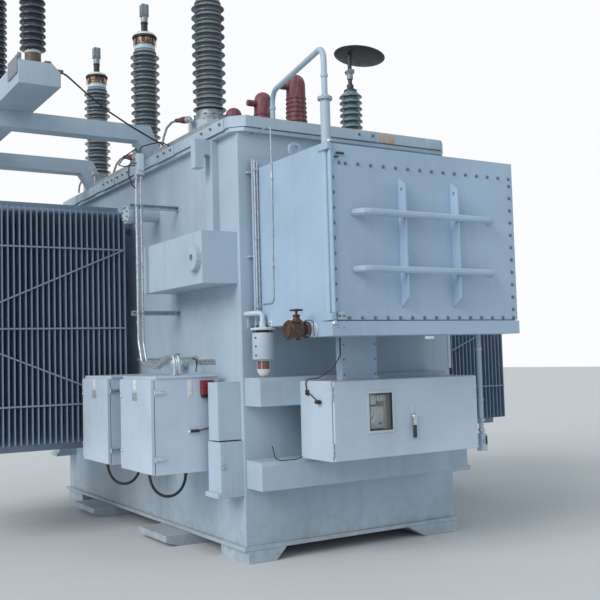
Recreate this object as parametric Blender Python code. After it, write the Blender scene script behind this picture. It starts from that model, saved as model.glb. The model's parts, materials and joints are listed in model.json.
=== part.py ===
"""Oil-filled power transformer with a tap changer housing on its front wall, radiators on both
long sides and bushings on the cover. Metres, +Z up, the front (tap changer side) faces -Y and the
origin is on the ground under the middle of the whole outline."""

import math

import bmesh
import bpy
from mathutils import Matrix, Vector

for old in list(bpy.data.objects):
    bpy.data.objects.remove(old, do_unlink=True)

# Clearances
SEAT = 0.0003
RUNNING_GAP = 0.006
PIVOT_GAP = 0.0004
WELD = 0.004
OVERRUN = 0.03

# Tank, its base plate and its cover
TANK_WIDTH = 2.12
TANK_LENGTH = 4.45
FOOT_HEIGHT = 0.10
BASE_PLATE_THICK = 0.03
BASE_PLATE_LIP = 0.035
TANK_TOP = 3.45
CURB_HEIGHT = 0.035
CURB_OUT = 0.05
CURB_CHAMFER = 0.085
COVER_THICK = 0.09
COVER_OUT = 0.065
COVER_CHAMFER = 0.11

# Feet under the front and back corners, and the two cross skids
NARROW_FOOT = 0.35
WIDE_FOOT = 0.56
FOOT_SLOPE = 0.10
FOOT_DEPTH = 0.45
SKID_OUT = 0.26
SKID_TOE = 0.06
SKID_SLOPE = 0.12
SKID_WIDTH = 0.62
SKID_INSET = 0.98

# Box stiffeners on the long walls
BEAM_START = 0.05
UPPER_BEAM_OUT = 0.31
UPPER_BEAM_BOTTOM = 2.195
UPPER_BEAM_HEIGHT = 0.415
LEFT_BEAM_END = 1.25
RIGHT_BEAM_END = 1.2
MID_BEAM_OUT = 0.20
MID_BEAM_BOTTOM = 0.96
MID_BEAM_HEIGHT = 0.455
MID_BEAM_END = 0.22
PAD_EYE_RADIUS = 0.105
PAD_EYE_THICK = 0.045
PAD_EYE_HOLE = 0.03
PAD_EYE_SETBACK = 0.11

# Jacking brackets low on the long walls, and lifting hooks near the cover
JACK_OUT = 0.20
JACK_BOTTOM = 0.52
JACK_HEIGHT = 0.43
JACK_START = 0.02
JACK_LENGTH = 0.22
JACK_SOLE = 0.04
JACK_SOLE_OUT = 0.23
HOOK_SETBACK = 0.41
HOOK_THICK = 0.09
HOOK_OUT = 0.20
HOOK_BOTTOM = 3.18
HOOK_LIP = 0.075
HOOK_THROAT = 0.085
THROAT_SIDES = 6
RIB_WIDTH = 0.13
RIB_OUT = 0.06

# Box bands across the front and back walls
BAND_OUT = 0.25
BAND_INSET = 0.015
BAND_SHORT_END = 0.245
UPPER_BAND_BOTTOM = 1.223
UPPER_BAND_HEIGHT = 0.222
LOWER_BAND_BOTTOM = 0.58
LOWER_BAND_HEIGHT = 0.22
BAND_BEVEL = 0.03

# Tap changer housing on the front wall
TAP_LEFT_INSET = 0.14
TAP_WIDTH = 1.795
TAP_DEPTH = 1.07
TAP_BOTTOM = 1.838
TAP_TOP = 3.115
TAP_WALL = 0.03
TAP_SILL_HEIGHT = 0.10
TAP_SILL_OUT = 0.035
TAP_SILL_DEPTH = 0.28
TAP_FLOOR = 0.05
TAP_LINTEL_HEIGHT = 0.07
TAP_HINGE_INSET = 0.02
TAP_CORNER_RADIUS = 0.028
TAP_CORNER_STEPS = 3
TAP_FLANGE_OUT = 0.045
TAP_FLANGE_BACK = 0.04
TAP_FLANGE_THICK = 0.028
TAP_FLANGE_RISE = 0.075
TAP_NECK_INSET = 0.03
TAP_DOOR_THICK = 0.022
TAP_ROD_RADIUS = 0.014
TAP_BRACKET_HEIGHT = 0.05
TAP_BRACKET_REACH = 0.03
TAP_BRACKET_DEPTH = 0.07
TAP_CLAMP_HEIGHT = 0.07
EYE_RADIUS = 0.055
EYE_HOLE = 0.03
EYE_THICK = 0.025
EYE_SETBACK = 0.555
EYE_FROM_SIDE = 0.03
EYE_STEM = 0.045
GUSSET_THICK = 0.014
GUSSET_OUT = 0.06
GUSSET_DROP_SHARES = (0.03, 0.56)

# Grab frame on the tap changer door: two round rails across two flat bars
RAIL_RADIUS = 0.027
RAIL_STAND = 0.086
RAIL_LEFT = 0.22
RAIL_RIGHT = 0.288
RAIL_BEND = 0.075
BEND_STEPS = 3
UPPER_RAIL_Z = 2.62
LOWER_RAIL_Z = 2.21
FLAT_THICK = 0.014
FLAT_OUT = 0.085
FLAT_BOTTOM = 1.94
FLAT_HEIGHT = 0.97
FLAT_SLOPE = 0.07
FLAT_COUNT = 2
FLAT_LEFT = 0.625
FLAT_SPACING = 0.505
FLAT_HOLE = 0.014

# Drive cabinet under the tap changer
DRIVE_LEFT = 0.373
DRIVE_WIDTH = 1.417
DRIVE_DEPTH = 0.44
DRIVE_BOTTOM = 0.81
DRIVE_HEIGHT = 0.60
CABINET_WALL = 0.012
DOOR_THICK = 0.025
DOOR_INSET = 0.006
WINDOW_LEFT = 0.315
WINDOW_WIDTH = 0.23
WINDOW_BOTTOM = 0.205
WINDOW_HEIGHT = 0.295
GLASS_THICK = 0.006
WINDOW_RIM = 0.012
DRIVE_BOX_WIDTH = 0.34
DRIVE_BOX_DEPTH = 0.24
DRIVE_BOX_HEIGHT = 0.42
DIAL_RADIUS = 0.055
DIAL_THICK = 0.02
HANDLE_FROM_LEFT = 0.735
HANDLE_FROM_BOTTOM = 0.302
HANDLE_PLATE_WIDTH = 0.035
HANDLE_PLATE_HEIGHT = 0.20
HANDLE_PLATE_THICK = 0.006
HANDLE_HUB_RADIUS = 0.013
HANDLE_HUB_LENGTH = 0.022
HANDLE_LEVER_LENGTH = 0.165
HANDLE_LEVER_WIDTH = 0.022
HANDLE_LEVER_THICK = 0.010
SHAFT_BOX_LEFT = 0.58
SHAFT_BOX_WIDTH = 0.335
SHAFT_BOX_DEPTH = 0.08
SHAFT_BOX_BACK = 0.50

# Hinges: a fixed knuckle above and below each door knuckle
KNUCKLE_RADIUS = 0.010
KNUCKLE_SIDES = 6
KNUCKLE_LENGTH = 0.035
HINGE_OUT = 0.012
LEAF_THICK = 0.004
LEAF_LENGTH = 0.045
HINGE_INSET = 0.09

# Control cabinets on the left wall
CONTROL_WIDTH = 0.68
CONTROL_DEPTH = 0.58
CONTROL_HEIGHT = 0.77
CONTROL_BOTTOM = 0.706
CONTROL_STANDOFF = 0.07
CABINET_COUNT = 2
NEAR_CONTROL_SETBACK = 0.30
CONTROL_PITCH = 0.985
CONTROL_CAP_THICK = 0.018
CONTROL_CAP_OUT = 0.012
STANDOFF_RAIL = 0.05
SOCKET_SIZE = 0.105
SOCKET_DEPTH = 0.05
SOCKET_FROM_WALL = 0.06
SOCKET_DROP = 0.055
SOCKET_BEVEL = 0.018
HOSE_RADIUS = 0.013
HOSE_DROP = 0.215
HOSE_STEPS = 20
HOSE_SIDES = 10
HOSE_INSET = 0.11
HOSE_SETBACK = 0.34
HOSE_SPREAD = 0.255
HOSE_LEAN = 0.157
NUT_RADIUS = 0.022
NUT_HEIGHT = 0.025

# Radiators: pressed plates on an upper and a lower header
LEFT_RADIATOR_COUNT = 3
RIGHT_RADIATOR_COUNT = 2
PLATE_COUNT = 34
PLATE_PITCH = 0.0535
PLATE_THICK = 0.012
PLATE_WIDTH = 0.52
PLATE_SHOULDER = 0.015
RADIATOR_GAP = 0.09
RADIATOR_BOTTOM = 0.78
RADIATOR_TOP = 3.14
RADIATOR_STANDOFF = 0.16
HEADER_WIDTH = 0.12
HEADER_HEIGHT = 0.06
HEADER_PIPE_RADIUS = 0.045
HEADER_PIPE_INSET = 0.18
HEADER_FLANGE_RADIUS = 0.085
HEADER_FLANGE_THICK = 0.025
LEFT_BANK_SETBACK = 2.10
RIGHT_BANK_SETBACK = 1.30
STRAP_WIDTH = 0.016
STRAP_THICK = 0.006
STRAP_SHIFT = 0.002
UPPER_STRAP_Z = 2.69
MIDDLE_STRAP_Z = 1.926
LOWER_STRAP_Z = 1.21

# High-voltage bushings in a row along the left edge of the cover
PHASE_COUNT = 3
HV_INSET = 0.20
HV_FIRST = 0.89
HV_PITCH = 1.50
HV_TURRET_RADIUS = 0.17
HV_TURRET_HEIGHT = 0.175
HV_FLANGE_RADIUS = 0.155
HV_FLANGE_HEIGHT = 0.05
HV_ROOT_RADIUS = 0.115
HV_SHED_RADIUS = 0.15
HV_SHED_COUNT = 12
HV_SHED_SPAN = 1.01
HV_FOOT_HEIGHT = 0.06
HV_COLLAR_RADIUS = 0.109
HV_COLLAR_HEIGHT = 0.05
HV_SIGHT_RADIUS = 0.128
HV_SIGHT_HEIGHT = 0.143
HV_NECK_RADIUS = 0.039
HV_NECK_HEIGHT = 0.105
HV_CLAMP_RADIUS = 0.054
HV_CLAMP_HEIGHT = 0.196
HV_SIDES = 10

# Arms and beam that carry the surge arresters over the left radiators
ARM_WIDTH = 0.16
ARM_HEIGHT = 0.15
ARM_REACH = 1.507
ARM_RISE = 0.155
ARM_KNEE_OUT = 0.04
ARM_FOOT_IN = 0.10
ARM_FOOT_LENGTH = 0.16
ARM_KNEE_UNDER = 0.17
BEAM_WIDTH = 0.342
BEAM_HEIGHT = 0.19
BEAM_CHAMFER = 0.07
BEAM_FRONT = 0.85
BEAM_LENGTH = 2.95
BEAM_NEAR_OVERHANG = 0.92
BEAM_FAR_OVERHANG = 0.35
ARRESTER_FIRST = 0.20
ARRESTER_LAST = 0.19
ARRESTER_PITCH = (BEAM_LENGTH - ARRESTER_FIRST - ARRESTER_LAST) / (PHASE_COUNT - 1)
ARRESTER_BASE_RADIUS = 0.076
ARRESTER_BASE_HEIGHT = 0.07
ARRESTER_NECK_RADIUS = 0.05
ARRESTER_NECK_HEIGHT = 0.08
ARRESTER_ROOT = 0.084
ARRESTER_SHED = 0.1065
ARRESTER_SHED_COUNT = 14
ARRESTER_SPAN = 0.90
ARRESTER_CAP_HEIGHT = 0.08
ARRESTER_SIDES = 8

# Low-voltage side of the cover: three covered bushings, a neutral bushing and a small arrester
LV_INSET = 0.72
LV_FIRST = 1.35
LV_PITCH = 0.68
LV_TURRET_RADIUS = 0.14
LV_TURRET_HEIGHT = 0.215
LV_BOOT_RADIUS = 0.13
LV_BOOT_TOP_RADIUS = 0.115
LV_BOOT_HEIGHT = 0.70
LV_BOOT_NECK = 0.05
LV_LUG_RADIUS = 0.035
LV_LUG_LENGTH = 0.06
LV_SIDES = 12
NEUTRAL_INSET = 0.75
NEUTRAL_SETBACK = 0.35
NEUTRAL_FOOT_RADIUS = 0.09
NEUTRAL_FOOT_HEIGHT = 0.125
NEUTRAL_ROOT = 0.055
NEUTRAL_SHED = 0.105
NEUTRAL_SHED_COUNT = 6
NEUTRAL_SPAN = 0.34
NEUTRAL_STUD_RADIUS = 0.022
NEUTRAL_STUD_HEIGHT = 0.35
DISC_RADIUS = 0.24
DISC_THICK = 0.035
DISC_TILT = math.radians(9)
DISC_SHIFT = 0.11
SMALL_ARRESTER_INSET = 0.50
SMALL_ARRESTER_SETBACK = 0.65
SMALL_ARRESTER_SHED = 0.06
SMALL_ARRESTER_ROOT = 0.035
SMALL_ARRESTER_SPAN = 0.42
SMALL_ARRESTER_COUNT = 9

# Pipes, conduits, breather and valve
PIPE_SIDES = 8
VENT_INSET = 0.08
VENT_FROM_FRONT = 0.12
VENT_LOWER_RADIUS = 0.036
VENT_UPPER_RADIUS = 0.022
VENT_FLANGE_RADIUS = 0.055
VENT_FLANGE_THICK = 0.02
VENT_FLANGE_RISE = 0.36
VENT_RISE = 0.74
VENT_END_INSET = 0.51
VENT_END_SETBACK = 0.30
VENT_END_RISE = 0.34
CONDUIT_RADIUS = 0.0125
CONDUIT_SPACING = 0.042
CONDUIT_OUT = 0.367
CONDUIT_SETBACK = 1.15
CONDUIT_COUNT = 2
CONDUIT_TOP_Z = 3.25
CONDUIT_FORWARD = (0.0, 0.07, 0.34, 0.62, 0.74, 0.76)
CONDUIT_RISE = (0.30, 0.11, 0.06, 0.155, 0.155, 0.10)
CONDUIT_BEND = 0.05
STRUT_HEIGHT = 0.045
STRUT_WIDTH = 0.045
STRUT_REACH = 0.46
UPPER_STRUT_Z = 2.97
LOWER_STRUT_Z = 2.02
BREATHER_INSET = 0.10
BREATHER_FORWARD = 0.16
BREATHER_PIPE_RADIUS = 0.02
BREATHER_PIPE_TOP = 1.95
BREATHER_SIDESTEP = 0.06
BREATHER_RADIUS = 0.085
BREATHER_BOTTOM = 1.583
BREATHER_CASE_HEIGHT = 0.23
BREATHER_GLASS_RADIUS = 0.055
BREATHER_GLASS_HEIGHT = 0.08
BREATHER_CUP_HEIGHT = 0.052
BREATHER_COLLAR_RADIUS = 0.10
BREATHER_COLLAR_THICK = 0.02
VALVE_FROM_FRONT = 0.22
VALVE_Z = 1.79
VALVE_PIPE_RADIUS = 0.035
VALVE_BODY_RADIUS = 0.055
VALVE_FLANGE_RADIUS = 0.07
VALVE_FLANGE_THICK = 0.018
VALVE_STUB = 0.06
VALVE_LENGTH = 0.18
VALVE_BONNET_RADIUS = 0.03
VALVE_BONNET_HEIGHT = 0.10
WHEEL_RADIUS = 0.043
WHEEL_WIRE = 0.007
WHEEL_HUB_RADIUS = 0.014
WHEEL_HUB_HEIGHT = 0.02
WHEEL_SIDES = 12
WHEEL_BAR_COUNT = 3
WIRE_SIDES = 5
SUCTION_PIPE_RADIUS = 0.021
SUCTION_FROM_RIGHT = 0.055
SUCTION_FROM_FRONT = 0.41
SUCTION_BOTTOM = 0.78
SUCTION_BLOCK_SIZE = 0.06
SUCTION_BLOCK_HEIGHT = 0.14
STUB_SETBACK = 1.64
STUB_Z = 2.965
STUB_RADIUS = 0.056
STUB_OUT = 0.31
STUB_FLANGE_RADIUS = 0.085
STUB_FLANGE_THICK = 0.03

# Angles in degrees above which an edge stays sharp
SHED_EDGE = 30
ROUND_EDGE = 40
NEARLY_PARALLEL = 0.9

# How metallic a weathered metal surface looks
OXIDISED_SHARE = 0.7

# Places worked out from the sizes above
TAP_HANDLE_REACH = RAIL_STAND + RAIL_RADIUS
FRONT_REACH = TAP_DEPTH + TAP_HANDLE_REACH
BACK_REACH = BAND_OUT
FRONT = FRONT_REACH - (FRONT_REACH + TANK_LENGTH + BACK_REACH) / 2
BACK = FRONT + TANK_LENGTH
LEFT = -TANK_WIDTH / 2
RIGHT = TANK_WIDTH / 2
TANK_BOTTOM = FOOT_HEIGHT + BASE_PLATE_THICK + SEAT
CURB_BOTTOM = TANK_TOP - CURB_HEIGHT
COVER_BOTTOM = TANK_TOP + SEAT
COVER_TOP = COVER_BOTTOM + COVER_THICK
ON_COVER = COVER_TOP + SEAT
UPPER_BEAM_TOP = UPPER_BEAM_BOTTOM + UPPER_BEAM_HEIGHT

TAP_LEFT = LEFT + TAP_LEFT_INSET
TAP_RIGHT = TAP_LEFT + TAP_WIDTH
TAP_DOOR_FRONT = FRONT - TAP_DEPTH
TAP_RIM_FRONT = TAP_DOOR_FRONT + TAP_DOOR_THICK + RUNNING_GAP
TAP_FLANGE_FRONT = FRONT - TAP_FLANGE_BACK - TAP_FLANGE_THICK
TAP_DOOR_BOTTOM = TAP_BOTTOM + WELD + RUNNING_GAP
TAP_DOOR_TOP = TAP_TOP - RUNNING_GAP
TAP_HINGE = (TAP_LEFT + TAP_HINGE_INSET, TAP_DOOR_FRONT - TAP_ROD_RADIUS, TAP_DOOR_BOTTOM)


def finish(name, colour, roughness, metallic=0.0):
    material = bpy.data.materials.new(name)
    material.use_nodes = True
    shader = material.node_tree.nodes["Principled BSDF"]
    shader.inputs["Base Color"].default_value = (*colour, 1.0)
    shader.inputs["Roughness"].default_value = roughness
    shader.inputs["Metallic"].default_value = metallic
    return material


PAINT = finish("grey_paint", (0.56, 0.63, 0.68), 0.45)
CABINET_PAINT = finish("cabinet_paint", (0.66, 0.70, 0.74), 0.42)
GALVANISED = finish("galvanised_steel", (0.60, 0.62, 0.64), 0.4, OXIDISED_SHARE)
PORCELAIN = finish("grey_porcelain", (0.30, 0.34, 0.38), 0.18)
GREEN_PORCELAIN = finish("green_porcelain", (0.33, 0.42, 0.40), 0.18)
BROWN_PORCELAIN = finish("brown_porcelain", (0.20, 0.13, 0.11), 0.2)
RED_RUBBER = finish("red_rubber", (0.42, 0.05, 0.07), 0.5)
BLACK_RUBBER = finish("black_rubber", (0.03, 0.03, 0.033), 0.6)
DARK_PLASTIC = finish("dark_plastic", (0.05, 0.055, 0.06), 0.45)
BRONZE = finish("bronze", (0.30, 0.20, 0.14), 0.5, OXIDISED_SHARE)
CHROME = finish("chrome", (0.75, 0.76, 0.78), 0.15, 1.0)
GLASS = finish("window_glass", (0.70, 0.76, 0.78), 0.05)
WHITE_METAL = finish("white_metal", (0.80, 0.82, 0.84), 0.4)


def shell(outline, along, start, end):
    """An outline of two coordinates pushed along an axis, as a closed shell."""
    order = {"X": (1, 2, 0), "Y": (0, 2, 1), "Z": (0, 1, 2)}[along]
    bm = bmesh.new()
    rings = []
    for depth in (start, end):
        ring = []
        for first, second in outline:
            place = [0.0, 0.0, 0.0]
            place[order[0]], place[order[1]], place[order[2]] = first, second, depth
            ring.append(bm.verts.new(place))
        rings.append(ring)
    bm.faces.new(rings[0])
    bm.faces.new(rings[1])
    for i in range(len(outline)):
        j = (i + 1) % len(outline)
        bm.faces.new((rings[0][i], rings[0][j], rings[1][j], rings[1][i]))
    bmesh.ops.recalc_face_normals(bm, faces=bm.faces)
    return bm


def box(low, high):
    outline = [(low[0], low[1]), (high[0], low[1]), (high[0], high[1]), (low[0], high[1])]
    return shell(outline, "Z", low[2], high[2])


def turned(profile, sides, centre, along="Z"):
    """A profile of (radius, height) turned round an axis through centre. It starts and ends at
    radius zero."""
    bm = bmesh.new()
    rings = []
    for radius, height in profile:
        if radius == 0:
            rings.append([bm.verts.new((0, 0, height))])
            continue
        ring = []
        for i in range(sides):
            angle = 2 * math.pi * (i + 0.5) / sides
            ring.append(bm.verts.new((radius * math.cos(angle), radius * math.sin(angle), height)))
        rings.append(ring)
    for lower, upper in zip(rings, rings[1:]):
        for i in range(sides):
            j = (i + 1) % sides
            corners = [lower[i % len(lower)], lower[j % len(lower)]]
            corners += [upper[j % len(upper)], upper[i % len(upper)]]
            bm.faces.new(list(dict.fromkeys(corners)))
    turn = {
        "Z": Matrix.Identity(4),
        "X": Matrix.Rotation(math.pi / 2, 4, "Y"),
        "Y": Matrix.Rotation(-math.pi / 2, 4, "X"),
    }[along]
    bmesh.ops.transform(bm, matrix=Matrix.Translation(centre) @ turn, verts=bm.verts)
    bmesh.ops.recalc_face_normals(bm, faces=bm.faces)
    return bm


def rod(radius, start, end, sides, centre, along="Z"):
    return turned([(0, start), (radius, start), (radius, end), (0, end)], sides, centre, along)


def tube(points, radius, sides):
    """A round bar along straight runs, mitred where they meet."""
    points = [Vector(point) for point in points]
    bm = bmesh.new()
    side = Vector((0, 0, 1))
    first = (points[1] - points[0]).normalized()
    if abs(first.dot(side)) > NEARLY_PARALLEL:
        side = Vector((1, 0, 0))
    across = first.cross(side).normalized()
    rings = []
    for i, point in enumerate(points):
        before = (point - points[i - 1]).normalized() if i else first
        after = (points[i + 1] - point).normalized() if i + 1 < len(points) else before
        normal = (before + after).normalized()
        up = before.cross(across).normalized()
        across = up.cross(before).normalized()
        ring = []
        for k in range(sides):
            angle = 2 * math.pi * (k + 0.5) / sides
            spoke = radius * (math.cos(angle) * across + math.sin(angle) * up)
            slide = spoke.dot(normal) / before.dot(normal)
            ring.append(bm.verts.new(point + spoke - before * slide))
        rings.append(ring)
        turn = before.rotation_difference(after)
        across = turn @ across
    for lower, upper in zip(rings, rings[1:]):
        for k in range(sides):
            m = (k + 1) % sides
            bm.faces.new((lower[k], lower[m], upper[m], upper[k]))
    bm.faces.new(rings[0])
    bm.faces.new(rings[-1])
    bmesh.ops.recalc_face_normals(bm, faces=bm.faces)
    return bm


def rounded(path, radius, steps):
    """A path of straight runs with each inner corner turned into an arc of straight steps."""
    path = [Vector(point) for point in path]
    out = [path[0]]
    for before, corner, after in zip(path, path[1:], path[2:]):
        back, onward = (before - corner).normalized(), (after - corner).normalized()
        half = back.angle(onward) / 2
        reach = radius / math.tan(half)
        centre = corner + (back + onward).normalized() * radius / math.sin(half)
        start, end = corner + back * reach - centre, corner + onward * reach - centre
        sweep = start.rotation_difference(end)
        for i in range(steps + 1):
            partly = sweep.copy()
            partly.angle = sweep.angle * i / steps
            out.append(centre + partly @ start)
    out.append(path[-1])
    return out


def helper(bm):
    mesh = bpy.data.meshes.new("helper")
    bm.to_mesh(mesh)
    bm.free()
    obj = bpy.data.objects.new("helper", mesh)
    obj.hide_render = True
    obj.display_type = "WIRE"
    bpy.context.scene.collection.objects.link(obj)
    return obj


def combine(obj, shells, operation):
    """Joins shells to the object, or cuts them from it, and keeps the result as its mesh."""
    helpers = []
    for bm in shells:
        other = helper(bm)
        helpers.append(other)
        modifier = obj.modifiers.new(operation.lower(), "BOOLEAN")
        modifier.operation = operation
        modifier.solver = "EXACT"
        modifier.object = other
    graph = bpy.context.evaluated_depsgraph_get()
    mesh = bpy.data.meshes.new_from_object(obj.evaluated_get(graph))
    obj.modifiers.clear()
    obj.data = mesh
    for other in helpers:
        bpy.data.objects.remove(other, do_unlink=True)


def piece(name, shells, material, cuts=(), added=(), smooth=None, pivot=None, bevel=None):
    """One named object from closed shells: the first is the body and the others are joined to it.
    The cuts are taken from that, and the added shells are joined after them."""
    mesh = bpy.data.meshes.new(name)
    shells[0].to_mesh(mesh)
    shells[0].free()
    obj = bpy.data.objects.new(name, mesh)
    bpy.context.scene.collection.objects.link(obj)
    if len(shells) > 1:
        combine(obj, shells[1:], "UNION")
    if cuts:
        combine(obj, cuts, "DIFFERENCE")
    if added:
        combine(obj, added, "UNION")
    obj.data.name = name
    obj.data.materials.clear()
    obj.data.materials.append(material)
    if pivot is not None:
        obj.data.transform(Matrix.Translation(-Vector(pivot)))
        obj.location = pivot
    if bevel:
        rounding = obj.modifiers.new("edges", "BEVEL")
        rounding.width = bevel
        rounding.segments = 1
        rounding.limit_method = "ANGLE"
    if smooth:
        obj.data.shade_smooth()
        obj.data.set_sharp_from_angle(angle=math.radians(smooth))
    return obj


def on_door(axis, along, outward, low, high):
    """A box in a door's own directions: along from the hinge, outward from the face, and up."""
    ends = []
    for u, n, z in (low, high):
        ends.append(Vector(axis) + u * Vector(along) + n * Vector(outward) + Vector((0, 0, z)))
    return box([min(p) for p in zip(*ends)], [max(p) for p in zip(*ends)])


def knuckles(axis, along, outward, height, panel_start):
    """Two hinges on a vertical axis: (shells of the fixed side, shells of the door)."""
    fixed, moving = [], []
    for z in (HINGE_INSET, height - HINGE_INSET):
        half = KNUCKLE_LENGTH / 2
        for start, end, is_door in (
            (z - half - PIVOT_GAP - KNUCKLE_LENGTH, z - half - PIVOT_GAP, False),
            (z - half, z + half, True),
            (z + half + PIVOT_GAP, z + half + PIVOT_GAP + KNUCKLE_LENGTH, False),
        ):
            barrel = rod(KNUCKLE_RADIUS, start, end, KNUCKLE_SIDES, axis)
            if is_door:
                low = (0, -LEAF_THICK / 2, start + LEAF_THICK)
                high = (panel_start + WELD, LEAF_THICK / 2, end - LEAF_THICK)
                moving += [on_door(axis, along, outward, low, high), barrel]
            else:
                low = (HINGE_OUT - LEAF_THICK, -LEAF_LENGTH, start + LEAF_THICK)
                high = (HINGE_OUT + CABINET_WALL / 2, 0, end - LEAF_THICK)
                fixed += [on_door(axis, along, outward, low, high), barrel]
    return fixed, moving


def rim(out, chamfer, bottom, top):
    """A flat slab that stands out past the tank's walls all round, with its corners cut off."""
    x0, x1, y0, y1 = LEFT - out, RIGHT + out, FRONT - out, BACK + out
    outline = [(x0 + chamfer, y0), (x1 - chamfer, y0), (x1, y0 + chamfer), (x1, y1 - chamfer)]
    outline += [(x1 - chamfer, y1), (x0 + chamfer, y1), (x0, y1 - chamfer), (x0, y0 + chamfer)]
    return shell(outline, "Z", bottom, top)


def tank_base():
    lip = BASE_PLATE_LIP
    low = (LEFT - lip, FRONT - lip, FOOT_HEIGHT)
    high = (RIGHT + lip, BACK + lip, FOOT_HEIGHT + BASE_PLATE_THICK)
    shells = [box(low, high)]
    top = FOOT_HEIGHT + WELD
    for y0, y1 in ((FRONT - lip, FRONT + FOOT_DEPTH), (BACK - FOOT_DEPTH, BACK + lip)):
        narrow = [(LEFT, 0), (LEFT + NARROW_FOOT - FOOT_SLOPE, 0), (LEFT + NARROW_FOOT, top), (LEFT, top)]
        wide = [(RIGHT, top), (RIGHT - WIDE_FOOT, top), (RIGHT - WIDE_FOOT + 2 * FOOT_SLOPE, 0), (RIGHT, 0)]
        shells += [shell(narrow, "Y", y0 + WELD, y1), shell(wide, "Y", y0 + WELD, y1)]
    out = TANK_WIDTH / 2 + SKID_OUT
    toe = [(-out, FOOT_HEIGHT - WELD), (-out, FOOT_HEIGHT - SKID_TOE), (-out + SKID_SLOPE, 0)]
    toe += [(-x, z) for x, z in reversed(toe)]
    for y0 in (FRONT + SKID_INSET, BACK - SKID_INSET - SKID_WIDTH):
        low = shell(toe, "Y", y0, y0 + SKID_WIDTH)
        web = box((LEFT, y0 + WELD, FOOT_HEIGHT - 2 * WELD), (RIGHT, y0 + SKID_WIDTH - WELD, top))
        shells += [low, web]
    piece("tank_base", shells, PAINT)


def lifting_hook(side, y):
    """A plate that stands out from the wall, with a lip turned down over its throat."""
    out = TANK_WIDTH / 2 + HOOK_OUT
    wall = TANK_WIDTH / 2 - WELD
    top = CURB_BOTTOM + WELD
    inner, outer = TANK_WIDTH / 2 + RIB_OUT, out - HOOK_LIP
    middle, radius = (outer + inner) / 2, (outer - inner) / 2
    crown = HOOK_BOTTOM + HOOK_THROAT
    outline = [(wall, top), (wall, HOOK_BOTTOM), (inner, HOOK_BOTTOM)]
    for i in range(THROAT_SIDES + 1):
        angle = math.pi * i / THROAT_SIDES
        outline.append((middle - radius * math.cos(angle), crown + radius * math.sin(angle)))
    outline += [(outer, HOOK_BOTTOM), (out, HOOK_BOTTOM), (out, top)]
    outline = [(side * x, z) for x, z in outline]
    return shell(outline, "Y", y - HOOK_THICK / 2, y + HOOK_THICK / 2)


def jacking_bracket(side, y, sign):
    """A stiff box low on the wall, on a sole that stands out a little further all round."""
    wall = side * TANK_WIDTH / 2
    near, far = sorted((y + sign * JACK_START, y + sign * (JACK_START + JACK_LENGTH)))
    body = sorted((wall - side * WELD, wall + side * JACK_OUT))
    sole = sorted((wall - side * 2 * WELD, wall + side * JACK_SOLE_OUT))
    sole_top = JACK_BOTTOM + JACK_SOLE
    return [
        box((body[0], near, JACK_BOTTOM + WELD), (body[1], far, JACK_BOTTOM + JACK_HEIGHT)),
        box((sole[0], near - WELD, JACK_BOTTOM), (sole[1], far + WELD, sole_top)),
    ]


def tank_body():
    """The tank with its curb, a flanged pipe stub on the left wall, and at each corner a lifting
    hook on a rib and a jacking bracket."""
    shells = [box((LEFT, FRONT, TANK_BOTTOM), (RIGHT, BACK, TANK_TOP))]
    shells.append(rim(CURB_OUT, CURB_CHAMFER, CURB_BOTTOM, TANK_TOP - WELD))
    start, end = -STUB_OUT, WELD
    flanged = [(0, start), (STUB_FLANGE_RADIUS, start), (STUB_FLANGE_RADIUS, start + STUB_FLANGE_THICK)]
    flanged += [(STUB_RADIUS, start + STUB_FLANGE_THICK), (STUB_RADIUS, end), (0, end)]
    shells.append(turned(flanged, LV_SIDES, (LEFT, FRONT + STUB_SETBACK, STUB_Z), "X"))
    for side in (-1, 1):
        wall = side * TANK_WIDTH / 2
        inner, outer = sorted((wall - side * WELD, wall + side * RIB_OUT))
        for y, sign, rib_foot in ((FRONT, 1, UPPER_BEAM_TOP + SEAT), (BACK, -1, UPPER_BEAM_BOTTOM)):
            hook_y = y + sign * HOOK_SETBACK
            low = (inner, hook_y - RIB_WIDTH / 2, rib_foot)
            high = (outer, hook_y + RIB_WIDTH / 2, CURB_BOTTOM + WELD)
            shells += [lifting_hook(side, hook_y), box(low, high)]
            shells += jacking_bracket(side, y, sign)
    piece("tank_body", shells, PAINT)


def tank_cover():
    shells = [rim(COVER_OUT, COVER_CHAMFER, COVER_BOTTOM, COVER_TOP)]
    for i in range(PHASE_COUNT):
        centre = (LEFT + HV_INSET, FRONT + HV_FIRST + i * HV_PITCH, COVER_TOP)
        shells.append(rod(HV_TURRET_RADIUS, -WELD, HV_TURRET_HEIGHT, HV_SIDES, centre))
        centre = (RIGHT - LV_INSET, FRONT + LV_FIRST + i * LV_PITCH, COVER_TOP)
        shells.append(rod(LV_TURRET_RADIUS, -WELD, LV_TURRET_HEIGHT, LV_SIDES, centre))
    piece("tank_cover", shells, PAINT, smooth=ROUND_EDGE)


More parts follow.
